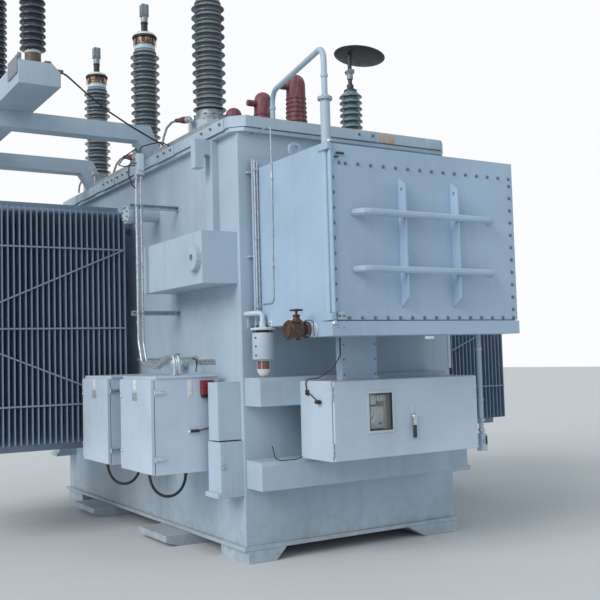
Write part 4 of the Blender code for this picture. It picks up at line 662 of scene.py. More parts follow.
def bolt_tree():
    """A hexagon bolt head with its washer and stud end on every point, along the point's facing."""
    tree, given = new_tree("bolts_on_points", [
        ("Across Flats", "Float", 0.024), ("Head Height", "Float", 0.012),
        ("Washer Thickness", "Float", 0.003), ("Stud Height", "Float", 0.006),
        ("Seed", "Int", 7), ("Material", "Material", None),
    ])
    radius = sums(tree, "DIVIDE", given["Across Flats"], math.sqrt(3))
    top = times(tree, radius, 0.9)
    head = add(tree, "GeometryNodeMeshCone", {
        "Vertices": 6, "Radius Top": top, "Radius Bottom": radius, "Depth": given["Head Height"]})
    head = moved(tree, head.outputs[0], vector(tree, z=given["Washer Thickness"]))
    washer = add(tree, "GeometryNodeMeshCone", {
        "Vertices": 14, "Radius Top": times(tree, radius, 1.22),
        "Radius Bottom": times(tree, radius, 1.3), "Depth": given["Washer Thickness"]})
    stud = add(tree, "GeometryNodeMeshCone", {
        "Vertices": 10, "Radius Top": times(tree, radius, 0.4),
        "Radius Bottom": times(tree, radius, 0.5), "Depth": given["Stud Height"]})
    lift = plus(tree, given["Head Height"], given["Washer Thickness"])
    stud = moved(tree, stud.outputs[0], vector(tree, z=lift))
    whole = tree.nodes.new("GeometryNodeJoinGeometry")
    for part in (head, washer.outputs[0], stud):
        tree.links.new(part, whole.inputs[0])
    facing = add(tree, "GeometryNodeInputNamedAttribute", {"Name": "facing"},
                 data_type="FLOAT_VECTOR")
    aligned = add(tree, "FunctionNodeAlignRotationToVector", {"Vector": facing.outputs[0]},
                  axis="Z")
    chance = add(tree, "FunctionNodeRandomValue", {"Seed": given["Seed"]}, data_type="FLOAT")
    angle = times(tree, chance.outputs[1], math.tau)
    spin = add(tree, "FunctionNodeAxisAngleToRotation", {"Axis": (0, 0, 1), "Angle": angle})
    turned = add(tree, "FunctionNodeRotateRotation",
                 {"Rotation": aligned.outputs[0], "Rotate By": spin.outputs[0]},
                 rotation_space="LOCAL")
    placed = add(tree, "GeometryNodeInstanceOnPoints", {
        "Points": given["Geometry"], "Instance": whole.outputs[0], "Rotation": turned.outputs[0]})
    end_tree(tree, placed.outputs[0], given["Material"])
    return tree


def shed_tree():
    """A porcelain column: a grid wrapped round an axis, its radius swept out by each shed."""
    tree, given = new_tree("shed_column", [
        ("Sheds", "Int", 12), ("Span", "Float", 0.9), ("Root Radius", "Float", 0.05),
        ("Shed Radius", "Float", 0.1), ("Droop", "Float", 0.012),
        ("Narrow Share", "Float", 1.0), ("Rows per Shed", "Int", 10), ("Sides", "Int", 40),
        ("Foot", "Vector", (0, 0, 0)), ("Material", "Material", None),
    ])
    rows = times(tree, given["Sheds"], given["Rows per Shed"])
    columns = plus(tree, given["Sides"], 1)
    all_rows = plus(tree, rows, 3)
    grid = add(tree, "GeometryNodeMeshGrid", {
        "Size X": 1.0, "Size Y": 1.0, "Vertices X": columns, "Vertices Y": all_rows}).outputs[0]
    place = add(tree, "GeometryNodeInputPosition").outputs[0]
    split = add(tree, "ShaderNodeSeparateXYZ", {0: place})
    angle = times(tree, split.outputs[0], math.tau)
    step = times(tree, plus(tree, split.outputs[1], 0.5), plus(tree, rows, 2))
    step = minus(tree, sums(tree, "ROUND", step), 1)
    inside = sums(tree, "MINIMUM", sums(tree, "MAXIMUM", step, 0.0), rows)
    is_pole = sums(tree, "COMPARE", step, inside)
    turns = sums(tree, "DIVIDE", inside, given["Rows per Shed"])
    phase = sums(tree, "FRACT", plus(tree, turns, 0.0001))
    curve = tree.nodes.new("ShaderNodeFloatCurve")
    points = curve.mapping.curves[0].points
    points[0].location, points[1].location = (0, 0), (1, 0)
    for x, y in ((0.12, 0.05), (0.24, 0.45), (0.34, 0.92), (0.42, 1.0), (0.52, 0.95), (0.72, 0.5)):
        points.new(x, y)
    curve.mapping.update()
    tree.links.new(phase, curve.inputs["Value"])
    out = curve.outputs[0]
    shed_number = sums(tree, "FLOOR", plus(tree, turns, 0.0001))
    narrow = sums(tree, "MODULO", shed_number, 2.0)
    width = plus(tree, 1.0, times(tree, narrow, minus(tree, given["Narrow Share"], 1.0)))
    out = times(tree, out, width)
    height_share = sums(tree, "DIVIDE", inside, rows)
    reach = minus(tree, given["Shed Radius"], given["Root Radius"])
    radius = plus(tree, given["Root Radius"], times(tree, out, reach))
    radius = times(tree, radius, is_pole)
    rise = minus(tree, times(tree, height_share, given["Span"]), times(tree, out, given["Droop"]))
    x = times(tree, radius, sums(tree, "COSINE", angle))
    y = times(tree, radius, sums(tree, "SINE", angle))
    wrapped = add(tree, "GeometryNodeSetPosition",
                  {"Geometry": grid, "Position": vector(tree, x, y, rise)})
    closed = add(tree, "GeometryNodeMergeByDistance",
                 {"Geometry": wrapped.outputs[0], "Distance": 0.00002})
    smooth = add(tree, "GeometryNodeSetShadeSmooth", {"Geometry": closed.outputs[0]})
    end_tree(tree, moved(tree, smooth.outputs[0], given["Foot"]), given["Material"])
    return tree


def grown(name, tree, values, points=(), facing=()):
    """Runs a tree on loose points, and returns the plain mesh object that comes out."""
    mesh = bpy.data.meshes.new(name + "_points")
    mesh.from_pydata([tuple(p) for p in points], [], [])
    if points:
        layer = mesh.attributes.new("facing", "FLOAT_VECTOR", "POINT")
        layer.data.foreach_set("vector", [c for way in facing for c in way])
    holder = bpy.data.objects.new(name + "_holder", mesh)
    bpy.context.scene.collection.objects.link(holder)
    modifier = holder.modifiers.new("grow", "NODES")
    modifier.node_group = tree
    for item in tree.interface.items_tree:
        if item.in_out == "INPUT" and item.name in values:
            modifier[item.identifier] = values[item.name]
    graph = bpy.context.evaluated_depsgraph_get()
    result = bpy.data.meshes.new_from_object(holder.evaluated_get(graph))
    result.name = name
    obj = bpy.data.objects.new(name, result)
    bpy.context.scene.collection.objects.link(obj)
    holder.modifiers.clear()
    bpy.data.objects.remove(holder, do_unlink=True)
    bpy.data.meshes.remove(mesh)
    return obj


BOLTS = bolt_tree()
SHEDS = shed_tree()
waiting_bolts = {}


def bolt(point, facing, size=0.024, body="root"):
    """Notes one bolt; all bolts of one size on one body are made together at the end."""
    waiting_bolts.setdefault((body, size), []).append((tuple(point), tuple(facing)))


def bolt_line(start, end, count, facing, size=0.024, body="root"):
    start, end = Vector(start), Vector(end)
    for i in range(count):
        bolt(start.lerp(end, i / max(1, count - 1)), facing, size, body)


def bolt_circle(centre, radius, count, along="Z", size=0.02, sign=1, body="root"):
    turn = AXES[along]
    for i in range(count):
        angle = 2 * math.pi * (i + 0.5) / count
        spot = Vector(centre) + turn @ Vector((radius * math.cos(angle), radius * math.sin(angle),
                                               0))
        bolt(spot, turn @ Vector((0, 0, sign)), size, body)


def set_bolts():
    for (body, size), rows in sorted(waiting_bolts.items()):
        name = f"bolts_{body}_{round(1000 * size)}mm"
        values = {"Across Flats": size, "Head Height": 0.5 * size, "Washer Thickness": 0.12 * size,
                  "Stud Height": 0.3 * size, "Seed": 7, "Material": BOLT_ZINC}
        obj = grown(name, BOLTS, values, [row[0] for row in rows], [row[1] for row in rows])
        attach(obj, body)


def shed_column(name, node, foot, sheds, span, root, shed, droop, material, narrow=1.0):
    """One porcelain column. With a narrow share every shed is followed by a narrower one."""
    if narrow < 1:
        sheds *= 2
    values = {"Sheds": sheds, "Span": span, "Root Radius": root, "Shed Radius": shed,
              "Droop": droop, "Narrow Share": narrow, "Foot": tuple(foot), "Material": material}
    obj = grown(name, SHEDS, values)
    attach(obj, "root")
    if node:
        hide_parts(node)
    return obj


# High-voltage bushings


def high_voltage_bushings():
    """Porcelain columns with a wide and a narrow shed in turn, each under its oil sight ring."""
    for i in (1, 2, 3):
        top, foot = high(f"hv_bushing_{i}"), middle_of(f"hv_bushing_{i}")
        wide = top.y - foot.y
        turned(f"hv_flange_{i}", CAST_METAL,
               [(wide - 0.003, 0.0), (wide, 0.003), (wide, 0.02), (wide - 0.004, 0.024),
                (wide - 0.012, 0.026), (wide - 0.012, 0.046), (wide - 0.018, 0.05), (0.128, 0.052),
                (0.124, 0.07), (0.12, 0.104), (0.108, 0.11)], foot, sides=48)
        bolt_circle(raised(foot, 0.05), wide - 0.017, 12, size=0.018)
        shed_column(f"hv_sheds_{i}", f"hv_bushing_{i}", raised(foot, 0.109), 12,
                    top.z - foot.z - 0.109, 0.101, wide - 0.005, 0.012, GREY_GLAZE,
                    narrow=0.42)
        hv_cap(i, Vector((foot.x, foot.y, low(f"hv_cap_{i}").z)), high(f"hv_cap_{i}").z)


def hv_cap(i, foot, peak):
    """Collar, sight ring behind its rods, top plate, dark neck and the line clamp's two jaws."""
    height = peak - foot.z
    turned(f"hv_collar_{i}", PALE_PAINT,
           [(0.104, 0.0), (0.109, 0.004), (0.109, 0.034), (0.105, 0.038), (0.098, 0.04),
            (0.098, 0.052)], foot, sides=40, stands_for=(f"hv_cap_{i}",))
    bolt_circle(raised(foot, 0.039), 0.1, 10, size=0.01)
    turned(f"hv_sight_ring_{i}", SIGHT_RING,
           [(0.103, 0.052), (0.108, 0.056), (0.112, 0.09), (0.112, 0.116), (0.108, 0.12)], foot,
           sides=40)
    bm = bmesh.new()
    lathe(bm, [(0.118, 0.12), (0.127, 0.123), (0.128, 0.128), (0.128, 0.142), (0.124, 0.147),
               (0.116, 0.148)], foot, sides=40)
    lathe(bm, [(0.037, 0.186), (0.039, 0.19), (0.039, 0.2), (0.034, 0.206), (0.034, 0.28),
               (0.039, 0.285), (0.039, 0.298)], foot, sides=24)
    for rod_foot in ring(foot, 0.117, 8):
        lathe(bm, [(0.003, 0.038), (0.003, 0.121)], rod_foot, sides=8)
    piece(f"hv_neck_{i}", bm, BLACK_RUBBER)
    turned(f"hv_top_plate_{i}", WHITE_ENAMEL,
           [(0.112, 0.148), (0.114, 0.151), (0.113, 0.16), (0.1, 0.176), (0.07, 0.185),
            (0.03, 0.187)], foot, sides=40)
    bolt_circle(raised(foot, 0.17), 0.096, 6, size=0.014)
    bm = bmesh.new()
    lathe(bm, [(0.034, 0.298), (0.037, 0.302), (0.037, 0.35), (0.03, 0.362), (0.02, 0.366),
               (0.02, height - 0.02), (0.016, height - 0.014)], foot, sides=24)
    for side in (-1, 1):
        near, far = sorted((side * 0.024, side * 0.008))
        block(bm, foot + Vector((-0.044, near, 0.36)), foot + Vector((0.044, far, height - 0.02)),
              0.004)
        ear_near, ear_far = sorted((side * 0.032, side * 0.02))
        block(bm, foot + Vector((-0.04, ear_near, 0.375)), foot + Vector((0.04, ear_far, height)),
              0.003)
    piece(f"hv_clamp_{i}", bm, CAST_METAL)
    for z in (0.395, 0.43, height - 0.022):
        for x in (-0.026, 0.026):
            for side in (-1, 1):
                bolt(foot + Vector((x, side * 0.032, z)), (0, side, 0), 0.013)


def surge_arresters():
    """Each on its bolted base, under a cap with a flat terminal."""
    for i in (1, 2, 3):
        foot = middle_of(f"arrester_{i}")
        height = high(f"arrester_{i}").z - foot.z
        turned(f"arrester_base_{i}", BROWN_CASTING,
               [(0.074, 0.0), (0.076, 0.002), (0.076, 0.01), (0.07, 0.013), (0.066, 0.016),
                (0.066, 0.118), (0.062, 0.122)], foot, sides=36)
        turned(f"arrester_neck_{i}", WHITE_ENAMEL,
               [(0.064, 0.1225), (0.068, 0.124), (0.068, 0.132), (0.063, 0.135), (0.063, 0.146),
                (0.058, 0.151)], foot, sides=32)
        bolt_circle(raised(foot, 0.011), 0.071, 4, size=0.009)
        for angle in (0.6, 2.2, 3.7, 5.3):
            bolt(foot + Vector((0.066 * math.cos(angle), 0.066 * math.sin(angle), 0.095)),
                 (math.cos(angle), math.sin(angle), 0), 0.012)
        shed_column(f"arrester_sheds_{i}", f"arrester_{i}", raised(foot, 0.15), 16, height - 0.23,
                    0.075, 0.106, 0.014, DARK_GLAZE)
        bm = bmesh.new()
        crown = raised(foot, height - 0.081)
        lathe(bm, [(0.06, 0.0), (0.064, 0.003), (0.064, 0.02), (0.05, 0.028), (0.022, 0.033),
                   (0.013, 0.036), (0.013, 0.076), (0.01, 0.08)], crown, sides=32)
        block(bm, crown + Vector((-0.022, -0.03, 0.045)), crown + Vector((0.022, 0.03, 0.066)),
              0.004)
        piece(f"arrester_cap_{i}", bm, CAST_METAL)
        bolt_circle(raised(crown, 0.021), 0.054, 6, size=0.01)


def covered_bushings():
    """Ribbed insulating covers over the low-voltage bushings, each with its side lug."""
    for i in (1, 2, 3):
        bottom, top = low(f"lv_boot_{i}"), high(f"lv_boot_{i}")
        wide = (top.y - bottom.y) / 2
        centre = Vector((top.x - wide, (bottom.y + top.y) / 2, bottom.z))
        height = top.z - bottom.z
        profile = [(wide - 0.006, 0.0), (wide, 0.004), (wide, 0.04), (wide - 0.008, 0.046)]
        ribs = 9
        start = 0.046
        pitch = (height * 0.66 - start) / ribs
        for k in range(ribs):
            z = start + k * pitch
            slim = wide - 0.012 - 0.0012 * k
            profile += [(slim - 0.008, z + 0.1 * pitch), (slim - 0.008, z + 0.4 * pitch),
                        (slim, z + 0.55 * pitch), (slim, z + 0.85 * pitch),
                        (slim - 0.007, z + 0.95 * pitch)]
        z = start + ribs * pitch
        profile += [(0.098, z + 0.02), (0.096, height - 0.1), (0.09, height - 0.07),
                    (0.078, height - 0.04), (0.056, height - 0.018), (0.03, height - 0.005),
                    (0.012, height)]
        bm = bmesh.new()
        lathe(bm, profile, centre, sides=48)
        outlet = Vector((centre.x, centre.y, bottom.z + 0.565))
        reach = centre.x - bottom.x
        arm = [(0.0, -0.05)]
        for k in range(5):
            x = -(0.085 + k * (reach - 0.1) / 5)
            arm += [(0.03, x), (0.03, x - 0.007), (0.035, x - 0.01), (0.035, x - 0.016),
                    (0.03, x - 0.018)]
        arm += [(0.033, -reach + 0.012), (0.033, -reach + 0.002), (0.028, -reach)]
        lathe(bm, arm, outlet, "X", 28)
        piece(f"lv_cover_{i}", bm, MAROON, stands_for=(f"lv_boot_{i}",))
        bm = bmesh.new()
        lug = Vector((centre.x - wide + 0.006, centre.y - 0.03, bottom.z + 0.05))
        block(bm, lug + Vector((-0.035, -0.03, -0.02)), lug + Vector((0.02, 0.03, 0.05)), 0.008)
        lathe(bm, [(0.014, 0.0), (0.014, 0.02), (0.01, 0.024)], lug + Vector((-0.058, 0, 0.015)),
              "X", 18)
        piece(f"lv_lug_{i}", bm, BLACK_RUBBER)
        bolt_circle(Vector((centre.x, centre.y, bottom.z - SKIN)), wide + 0.006, 12, size=0.007)


def neutral_bushing():
    """The neutral bushing in green glaze, with its dark neck and clamp."""
    foot = middle_of("neutral_bushing")
    height = high("neutral_bushing").z - foot.z
    turned("neutral_flange", CAST_METAL,
           [(0.088, 0.0), (0.09, 0.003), (0.09, 0.022), (0.07, 0.028), (0.064, 0.05),
            (0.062, 0.118), (0.056, 0.124)], foot, sides=36)
    bolt_circle(raised(foot, 0.023), 0.078, 6, size=0.016)
    shed_column("neutral_sheds", "neutral_bushing", raised(foot, 0.122), 6, 0.343, 0.062, 0.1045,
                0.016, GREEN_GLAZE)
    turned("neutral_neck", DARK_MOULDING,
           [(0.056, 0.464), (0.06, 0.468), (0.06, 0.484), (0.042, 0.492), (0.031, 0.504),
            (0.031, 0.534), (0.019, 0.54), (0.019, height)], foot, sides=28)
    bm = bmesh.new()
    block(bm, foot + Vector((-0.026, -0.04, 0.635)), foot + Vector((0.026, 0.04, 0.675)), 0.006)
    lathe(bm, [(0.026, 0.585), (0.028, 0.588), (0.028, 0.635), (0.024, 0.638)], foot, sides=24)
    piece("neutral_clamp", bm, CAST_METAL)
    for y in (-0.028, 0.028):
        bolt(foot + Vector((-0.026, y, 0.655)), LEFTWARD, 0.014)


def tilted_disc():
    centre = (low("guard_disc") + high("guard_disc")) / 2
    tilt = Matrix.Rotation(math.radians(9), 3, "Y")
    bm = bmesh.new()
    profile = [(0.1, -0.012), (0.19, -0.004), (0.228, 0.004), (0.236, 0.01), (0.237, 0.014),
               (0.231, 0.016), (0.19, 0.008), (0.1, 0.0), (0.03, -0.002), (0.02, 0.012),
               (0.012, 0.015)]
    lathe(bm, profile, centre, tilt, 56)
    piece("tilted_disc", bm, DARK_MOULDING, stands_for=("guard_disc",))


def small_arrester():
    foot = middle_of("small_arrester")
    height = high("small_arrester").z - foot.z
    turned("small_arrester_foot", CAST_METAL,
           [(0.034, 0.0), (0.036, 0.002), (0.036, 0.02), (0.026, 0.024), (0.026, 0.115),
            (0.034, 0.125)], foot, sides=24)
    shed_column("small_arrester_sheds", "small_arrester", raised(foot, 0.123), 12, height - 0.16,
                0.04, 0.0595, 0.008, BROWN_GLAZE)
    turned("small_arrester_cap", WHITE_ENAMEL,
           [(0.03, height - 0.038), (0.034, height - 0.034), (0.034, height - 0.013),
            (0.02, height - 0.003), (0.008, height)], foot, sides=24)


# Pipes and fittings


def vent_pipe():
    """The thick lower pipe, its bolted flange, and the thinner pipe that bends to the cover."""
    bottom, top = low("vent_pipe"), high("vent_pipe")
    x, y = bottom.x + 0.055, bottom.y + 0.055
    end = (top.x - 0.022, top.y - 0.022)
    joint = bottom.z + 0.36
    bm = bmesh.new()
    lathe(bm, [(0.05, 0.0), (0.052, 0.002), (0.052, 0.012), (0.036, 0.014), (0.036, 0.338),
               (0.053, 0.34), (0.055, 0.342), (0.055, 0.35)], (x, y, bottom.z), sides=32)
    lathe(bm, [(0.053, 0.351), (0.055, 0.353), (0.055, 0.36), (0.03, 0.364), (0.022, 0.38)],
          (x, y, bottom.z), sides=32)
    path = [(x, y, joint), (x, y, bottom.z + 0.74), (*end, COVER_TOP + 0.34), (*end, COVER_TOP)]
    bar(bm, smooth_path(path, 0.11), 0.022, 20)
    for spot in ((x, y, joint + 0.16), (*end, COVER_TOP + 0.2)):
        rounded_rod(bm, 0.027, -0.012, 0.012, spot)
    rounded_rod(bm, 0.05, 0, 0.012, (*end, COVER_TOP))
    piece("vent_pipework", bm, PAINT, stands_for=("vent_pipe",))
    bolt_circle((x, y, bottom.z + 0.36), 0.043, 6, size=0.012)
    bolt_circle((x, y, bottom.z + 0.34), 0.043, 6, size=0.012, sign=-1)


def strut(bm, start, end, z, y, half=0.0205):
    """A slotted channel that stands off the wall, with its open side forward."""
    wall = 0.0028
    lip = 0.0075
    outline = [(-half, -half), (half, -half), (half, half), (-half, half), (-half, half - lip),
               (-half + wall, half - lip), (-half + wall, half - wall), (half - wall, half - wall),
               (half - wall, -half + wall), (-half + wall, -half + wall),
               (-half + wall, -half + lip), (-half, -half + lip)]
    slab(bm, [(y + a, z + b) for a, b in outline], "X", start, end, 0)


# The conduits' two places on the wall, and how far forward and up each bend lies from their foot
CONDUIT_ROUTE = ((0.0, 0.3), (0.07, 0.11), (0.34, 0.06), (0.62, 0.155), (0.74, 0.155), (0.76, 0.1))
CONDUIT_X = (LEFT - 0.367, LEFT - 0.409)
CONDUIT_Y = FRONT + 1.15
CONDUIT_TOP = high("conduit_riser").z
HOSE_STEPS = 150


def conduits():
    """Two steel conduits down the left wall with their couplings, saddles and slotted struts."""
    bottom, top = low("conduit_riser"), high("conduit_riser")
    y = CONDUIT_Y
    bm = bmesh.new()
    for x in CONDUIT_X:
        path = [(x, y, top.z)]
        for forward, rise in CONDUIT_ROUTE:
            path.append((x, y - forward, bottom.z + rise))
        path.append((x, y - CONDUIT_ROUTE[-1][0], bottom.z))
        bar(bm, smooth_path(path, 0.05, 8), 0.0125, 18)
        for z in (2.78, 2.45, 1.93):
            rounded_rod(bm, 0.0155, -0.02, 0.02, (x, y, z), sides=6)
        foot = (x, y - CONDUIT_ROUTE[-1][0], bottom.z + 0.0005)
        rounded_rod(bm, 0.02, 0.0, 0.014, foot, sides=6)
        rounded_rod(bm, 0.017, 0.014, 0.045, foot)
    piece("conduit_pair", bm, BRIGHT_ZINC, stands_for=("conduit_riser",))
    bm = bmesh.new()
    for z in (2.97, 2.02):
        strut(bm, bottom.x + 0.006, LEFT - TOUCH, z, y + 0.036)
        for x in CONDUIT_X:
            block(bm, (x - 0.017, y - 0.0155, z - 0.009), (x + 0.017, y + 0.0155, z + 0.009), 0.003)
    piece("conduit_struts", bm, BRIGHT_ZINC)
    for z in (2.97, 2.02):
        for x in CONDUIT_X:
            bolt((x, y - 0.0155, z), FORWARD, 0.01)
    x = CONDUIT_X[0]
    bm = bmesh.new()
    block(bm, (x - 0.03, y - 0.034, top.z - 0.012), (x + 0.03, y + 0.034, top.z - 0.0005), 0.004)
    rounded_rod(bm, 0.018, -0.05, -0.012, (x, y, top.z), sides=8)
    rounded_rod(bm, 0.018, -0.05, 0.0, (CONDUIT_X[1], y, top.z - 0.0005), sides=8)
    piece("conduit_glands", bm, ZINC)


def hoses():
    """Ribbed black hoses that hang in a loop under each control cabinet."""
    for i in (1, 2):
        bottom, top = low(f"cable_hose_{i}"), high(f"cable_hose_{i}")
        start = Vector((bottom.x + 0.022, top.y - 0.022, top.z))
        end = Vector((top.x - 0.022, bottom.y + 0.022, top.z))
        drop = (top.z - 0.025 - bottom.z - 0.012) * 4 / 3
        path = []
        for k in range(HOSE_STEPS + 1):
            t = k / HOSE_STEPS
            across = start.lerp(end, 3 * t ** 2 - 2 * t ** 3)
            path.append(across - Vector((0, 0, 0.012 + drop * 3 * t * (1 - t))))
        bm = bmesh.new()
        ribbed_tube(bm, path, 0.0118, 0.0008)
        for place in (start, end):
            rounded_rod(bm, 0.0215, -0.014, -0.001, place, sides=6)
            rounded_rod(bm, 0.0165, -0.036, -0.012, place, sides=20)
        piece(f"ribbed_hose_{i}", bm, BLACK_RUBBER, stands_for=(f"cable_hose_{i}",))


def ribbed_tube(bm, points, radius, ridge, sides=14):
    """A tube whose radius swells and shrinks at every other point along it."""
    across = Vector((0, 1, 0))
    hoops = []
    for i, point in enumerate(points):
        along = (points[min(i + 1, len(points) - 1)] - points[max(i - 1, 0)]).normalized()
        across = (across - along * across.dot(along)).normalized()
        wide = radius + (ridge if i % 2 else -ridge)
        hoops.append(hoop(bm, point, across, along.cross(across), wide, sides))
    skin(bm, hoops)


def breather():
    """Drying canister, its sight glass in a cage, the oil cup, and the lid with its wing nuts."""
    bottom, top = low("breather_case"), high("breather_case")
    x, y = LEFT + 0.1, FRONT - 0.16
    place = (x, y, 0)
    foot = bottom.z
    lid = foot + 0.23
    turned("breather_canister", CANISTER_PAINT,
           [(0.075, foot), (0.083, foot + 0.003), (0.085, foot + 0.009), (0.085, foot + 0.205),
            (0.08, foot + 0.211), (0.05, foot + 0.213)], place, sides=44,
           stands_for=("breather_case",))
    turned("breather_lid", PALE_PAINT,
           [(0.092, lid), (0.099, lid + 0.003), (0.1, lid + 0.007), (0.1, lid + 0.016),
            (0.094, lid + 0.02), (0.03, lid + 0.028), (0.026, lid + 0.05), (0.0265, lid + 0.07)],
           place, sides=40)
    bm = bmesh.new()
    pipe_top = top.z - 0.02
    path = [(x, y, lid + 0.05), (x, y, pipe_top), (x - 0.06, y + 0.06, pipe_top),
            (x - 0.06, FRONT - TOUCH, pipe_top)]
    bar(bm, smooth_path(path, 0.03), 0.0195, 18)
    piece("breather_pipe", bm, PALE_PAINT)
    bm = bmesh.new()
    for post in ring(place, 0.072, 6, 0.25):
        lathe(bm, [(0.006, foot + 0.212), (0.006, lid)], post, sides=10)
    lathe(bm, [(0.052, foot + 0.213), (0.052, lid)], place, sides=28)
    for z in (foot + 0.035, foot + 0.105, foot + 0.172):
        rounded_rod(bm, 0.0065, -0.006, 0.006, (x - 0.082, y - 0.03, z), "X", 12)
    piece("breather_posts", bm, DARK_MOULDING)
    bm = bmesh.new()
    for nut in ring((x, y, lid + 0.02), 0.078, 6):
        across = Vector((y - nut.y, nut.x - x, 0)).normalized()
        lathe(bm, [(0.009, 0.0), (0.009, 0.01), (0.004, 0.012), (0.004, 0.02)], nut, sides=14)
        for side in (-1, 1):
            tip = nut + side * 0.016 * across + Vector((0, 0, 0.017))
            bar(bm, [nut + side * 0.004 * across + Vector((0, 0, 0.004)), tip], 0.0042, 8)
    piece("lid_wing_nuts", bm, DARK_MOULDING)
    glass_low, glass_high = low("breather_glass").z, high("breather_glass").z
    turned("drying_beads", BEADS,
           [(0.044, glass_low), (0.048, glass_low + 0.004), (0.048, glass_high - 0.004),
            (0.044, glass_high)], place, sides=36, stands_for=("breather_glass",))
    bm = bmesh.new()
    for z in (glass_low + 0.0005, glass_high - 0.0085):
        lathe(bm, [(0.05, z), (0.054, z + 0.002), (0.054, z + 0.006), (0.05, z + 0.008)], place,
              sides=36)
    block(bm, (x + 0.05, y - 0.012, glass_low - 0.045), (x + 0.0545, y + 0.012, glass_high - 0.004),
          0.001)
    for rod_place in ring(place, 0.051, 4):
        lathe(bm, [(0.0025, glass_low + 0.002), (0.0025, glass_high - 0.002)], rod_place, sides=10)
    piece("sight_glass_cage", bm, WHITE_ENAMEL)
    cup_low, cup_high = low("breather_cup").z, high("breather_cup").z
    turned("oil_cup", WHITE_ENAMEL,
           [(0.012, cup_low), (0.02, cup_low + 0.002), (0.028, cup_low + 0.006),
            (0.038, cup_low + 0.018), (0.046, cup_low + 0.03), (0.048, cup_high - 0.012),
            (0.053, cup_high - 0.01), (0.053, cup_high - 0.001), (0.05, cup_high)], place, sides=36,
           stands_for=("breather_cup",))


# From the housing's wall to the valve's stem
VALVE_REACH = 0.15


def valve():
    """A small bronze gate valve: bolted flanges, a waisted body, bonnet, gland, stem and chain."""
    bottom, top = low("drain_valve"), high("drain_valve")
    wall, end = top.x, bottom.x
    y, z = (bottom.y + top.y) / 2, 1.79
    middle = wall - VALVE_REACH
    bm = bmesh.new()
    profile = [(0.05, end), (0.056, end + 0.003), (0.056, end + 0.016), (0.068, end + 0.019),
               (0.07, end + 0.022), (0.07, end + 0.034), (0.066, end + 0.037), (0.04, end + 0.04)]
    for k in range(9):
        angle = math.pi * k / 8
        profile.append((0.04 + 0.018 * math.sin(angle), middle - 0.046 * math.cos(angle)))
    profile += [(0.038, middle + 0.062), (0.06, middle + 0.07), (0.062, middle + 0.073),
                (0.062, middle + 0.085), (0.06, middle + 0.088), (0.035, middle + 0.09)]
    lathe(bm, profile, (0, y, z), "X", 36)
    lathe(bm, [(0.036, 0.03), (0.036, 0.052), (0.046, 0.055), (0.046, 0.064), (0.034, 0.068),
               (0.026, 0.08), (0.021, 0.093), (0.027, 0.096), (0.027, 0.107), (0.013, 0.11),
               (0.009, 0.112), (0.009, top.z - z)], (middle, y, z), sides=30)
    lathe(bm, [(0.012, -0.075), (0.016, -0.073), (0.016, -0.062), (0.022, -0.056), (0.024, -0.04)],
          (middle + 0.01, y, z), sides=18)
    piece("gate_valve", bm, BRONZE, stands_for=("drain_valve",))
    turned("valve_adapter", PALE_PAINT,
           [(0.047, middle + 0.0905), (0.05, middle + 0.093), (0.05, middle + 0.103),
            (0.046, middle + 0.106), (0.042, middle + 0.108), (0.044, wall - 0.012),
            (0.054, wall - 0.006), (0.055, wall)], (0, y, z), "X", 36)
    for x, sign in ((end + 0.038, 1), (middle + 0.068, -1)):
        bolt_circle((x, y, z), 0.055, 4, "X", 0.013, sign)
    bm = bmesh.new()
    chain = [(middle + 0.02, y - 0.05, z + 0.05), (middle + 0.045, y - 0.055, z + 0.066),
             (middle + 0.085, y - 0.06, z + 0.066), (middle + 0.1, y - 0.066, z + 0.05),
             (middle + 0.1, y - 0.072, z - 0.05)]
    bar(bm, smooth_path(chain, 0.02), 0.003, 8)
    piece("valve_chain", bm, DARK_MOULDING)


def handwheel():
    """A scalloped rim, six spokes and a hub, which turn on the valve's stem."""
    bottom, top = low("valve_handwheel"), high("valve_handwheel")
    valve_low, valve_high = low("drain_valve"), high("drain_valve")
    hub = Vector((valve_high.x - VALVE_REACH, (valve_low.y + valve_high.y) / 2, bottom.z + 0.01))
    rim_radius = (top.x - bottom.x) / 2 - 0.007
    upward = Vector((0, 0, 1))
    bm = bmesh.new()
    hoops = []
    for k in range(40):
        angle = math.tau * k / 40
        out = Vector((math.cos(angle), math.sin(angle), 0))
        grip = 0.0062 + 0.0007 * math.cos(8 * angle)
        hoops.append(hoop(bm, hub + rim_radius * out, out, upward, grip, 12))
    skin(bm, hoops, endless=True)
    lathe(bm, [(0.012, -0.0095), (0.014, -0.008), (0.014, 0.008), (0.009, 0.01)], hub, sides=24)
    for end in ring(hub, rim_radius, 6, 0):
        way = (end - hub).normalized()
        bar(bm, [hub + 0.01 * way, hub + 0.026 * way - 0.002 * upward, end], 0.0042, 10)
    piece("handwheel", bm, DARK_MOULDING, body="valve_wheel", stands_for=("valve_handwheel",))


# Doors and cabinets


def rim(bm, inner_low, inner_high, width, front, back, edge=0.002):
    """A flat frame of four bars round an opening that faces forward."""
    (x0, z0), (x1, z1) = inner_low, inner_high
    for a, b in (((x0 - width, z0 - width), (x1 + width, z0)),
                 ((x0 - width, z1), (x1 + width, z1 + width)),
                 ((x0 - width, z0), (x0, z1)), ((x1, z0), (x1 + width, z1))):
        block(bm, (a[0], front, a[1]), (b[0], back, b[1]), edge)


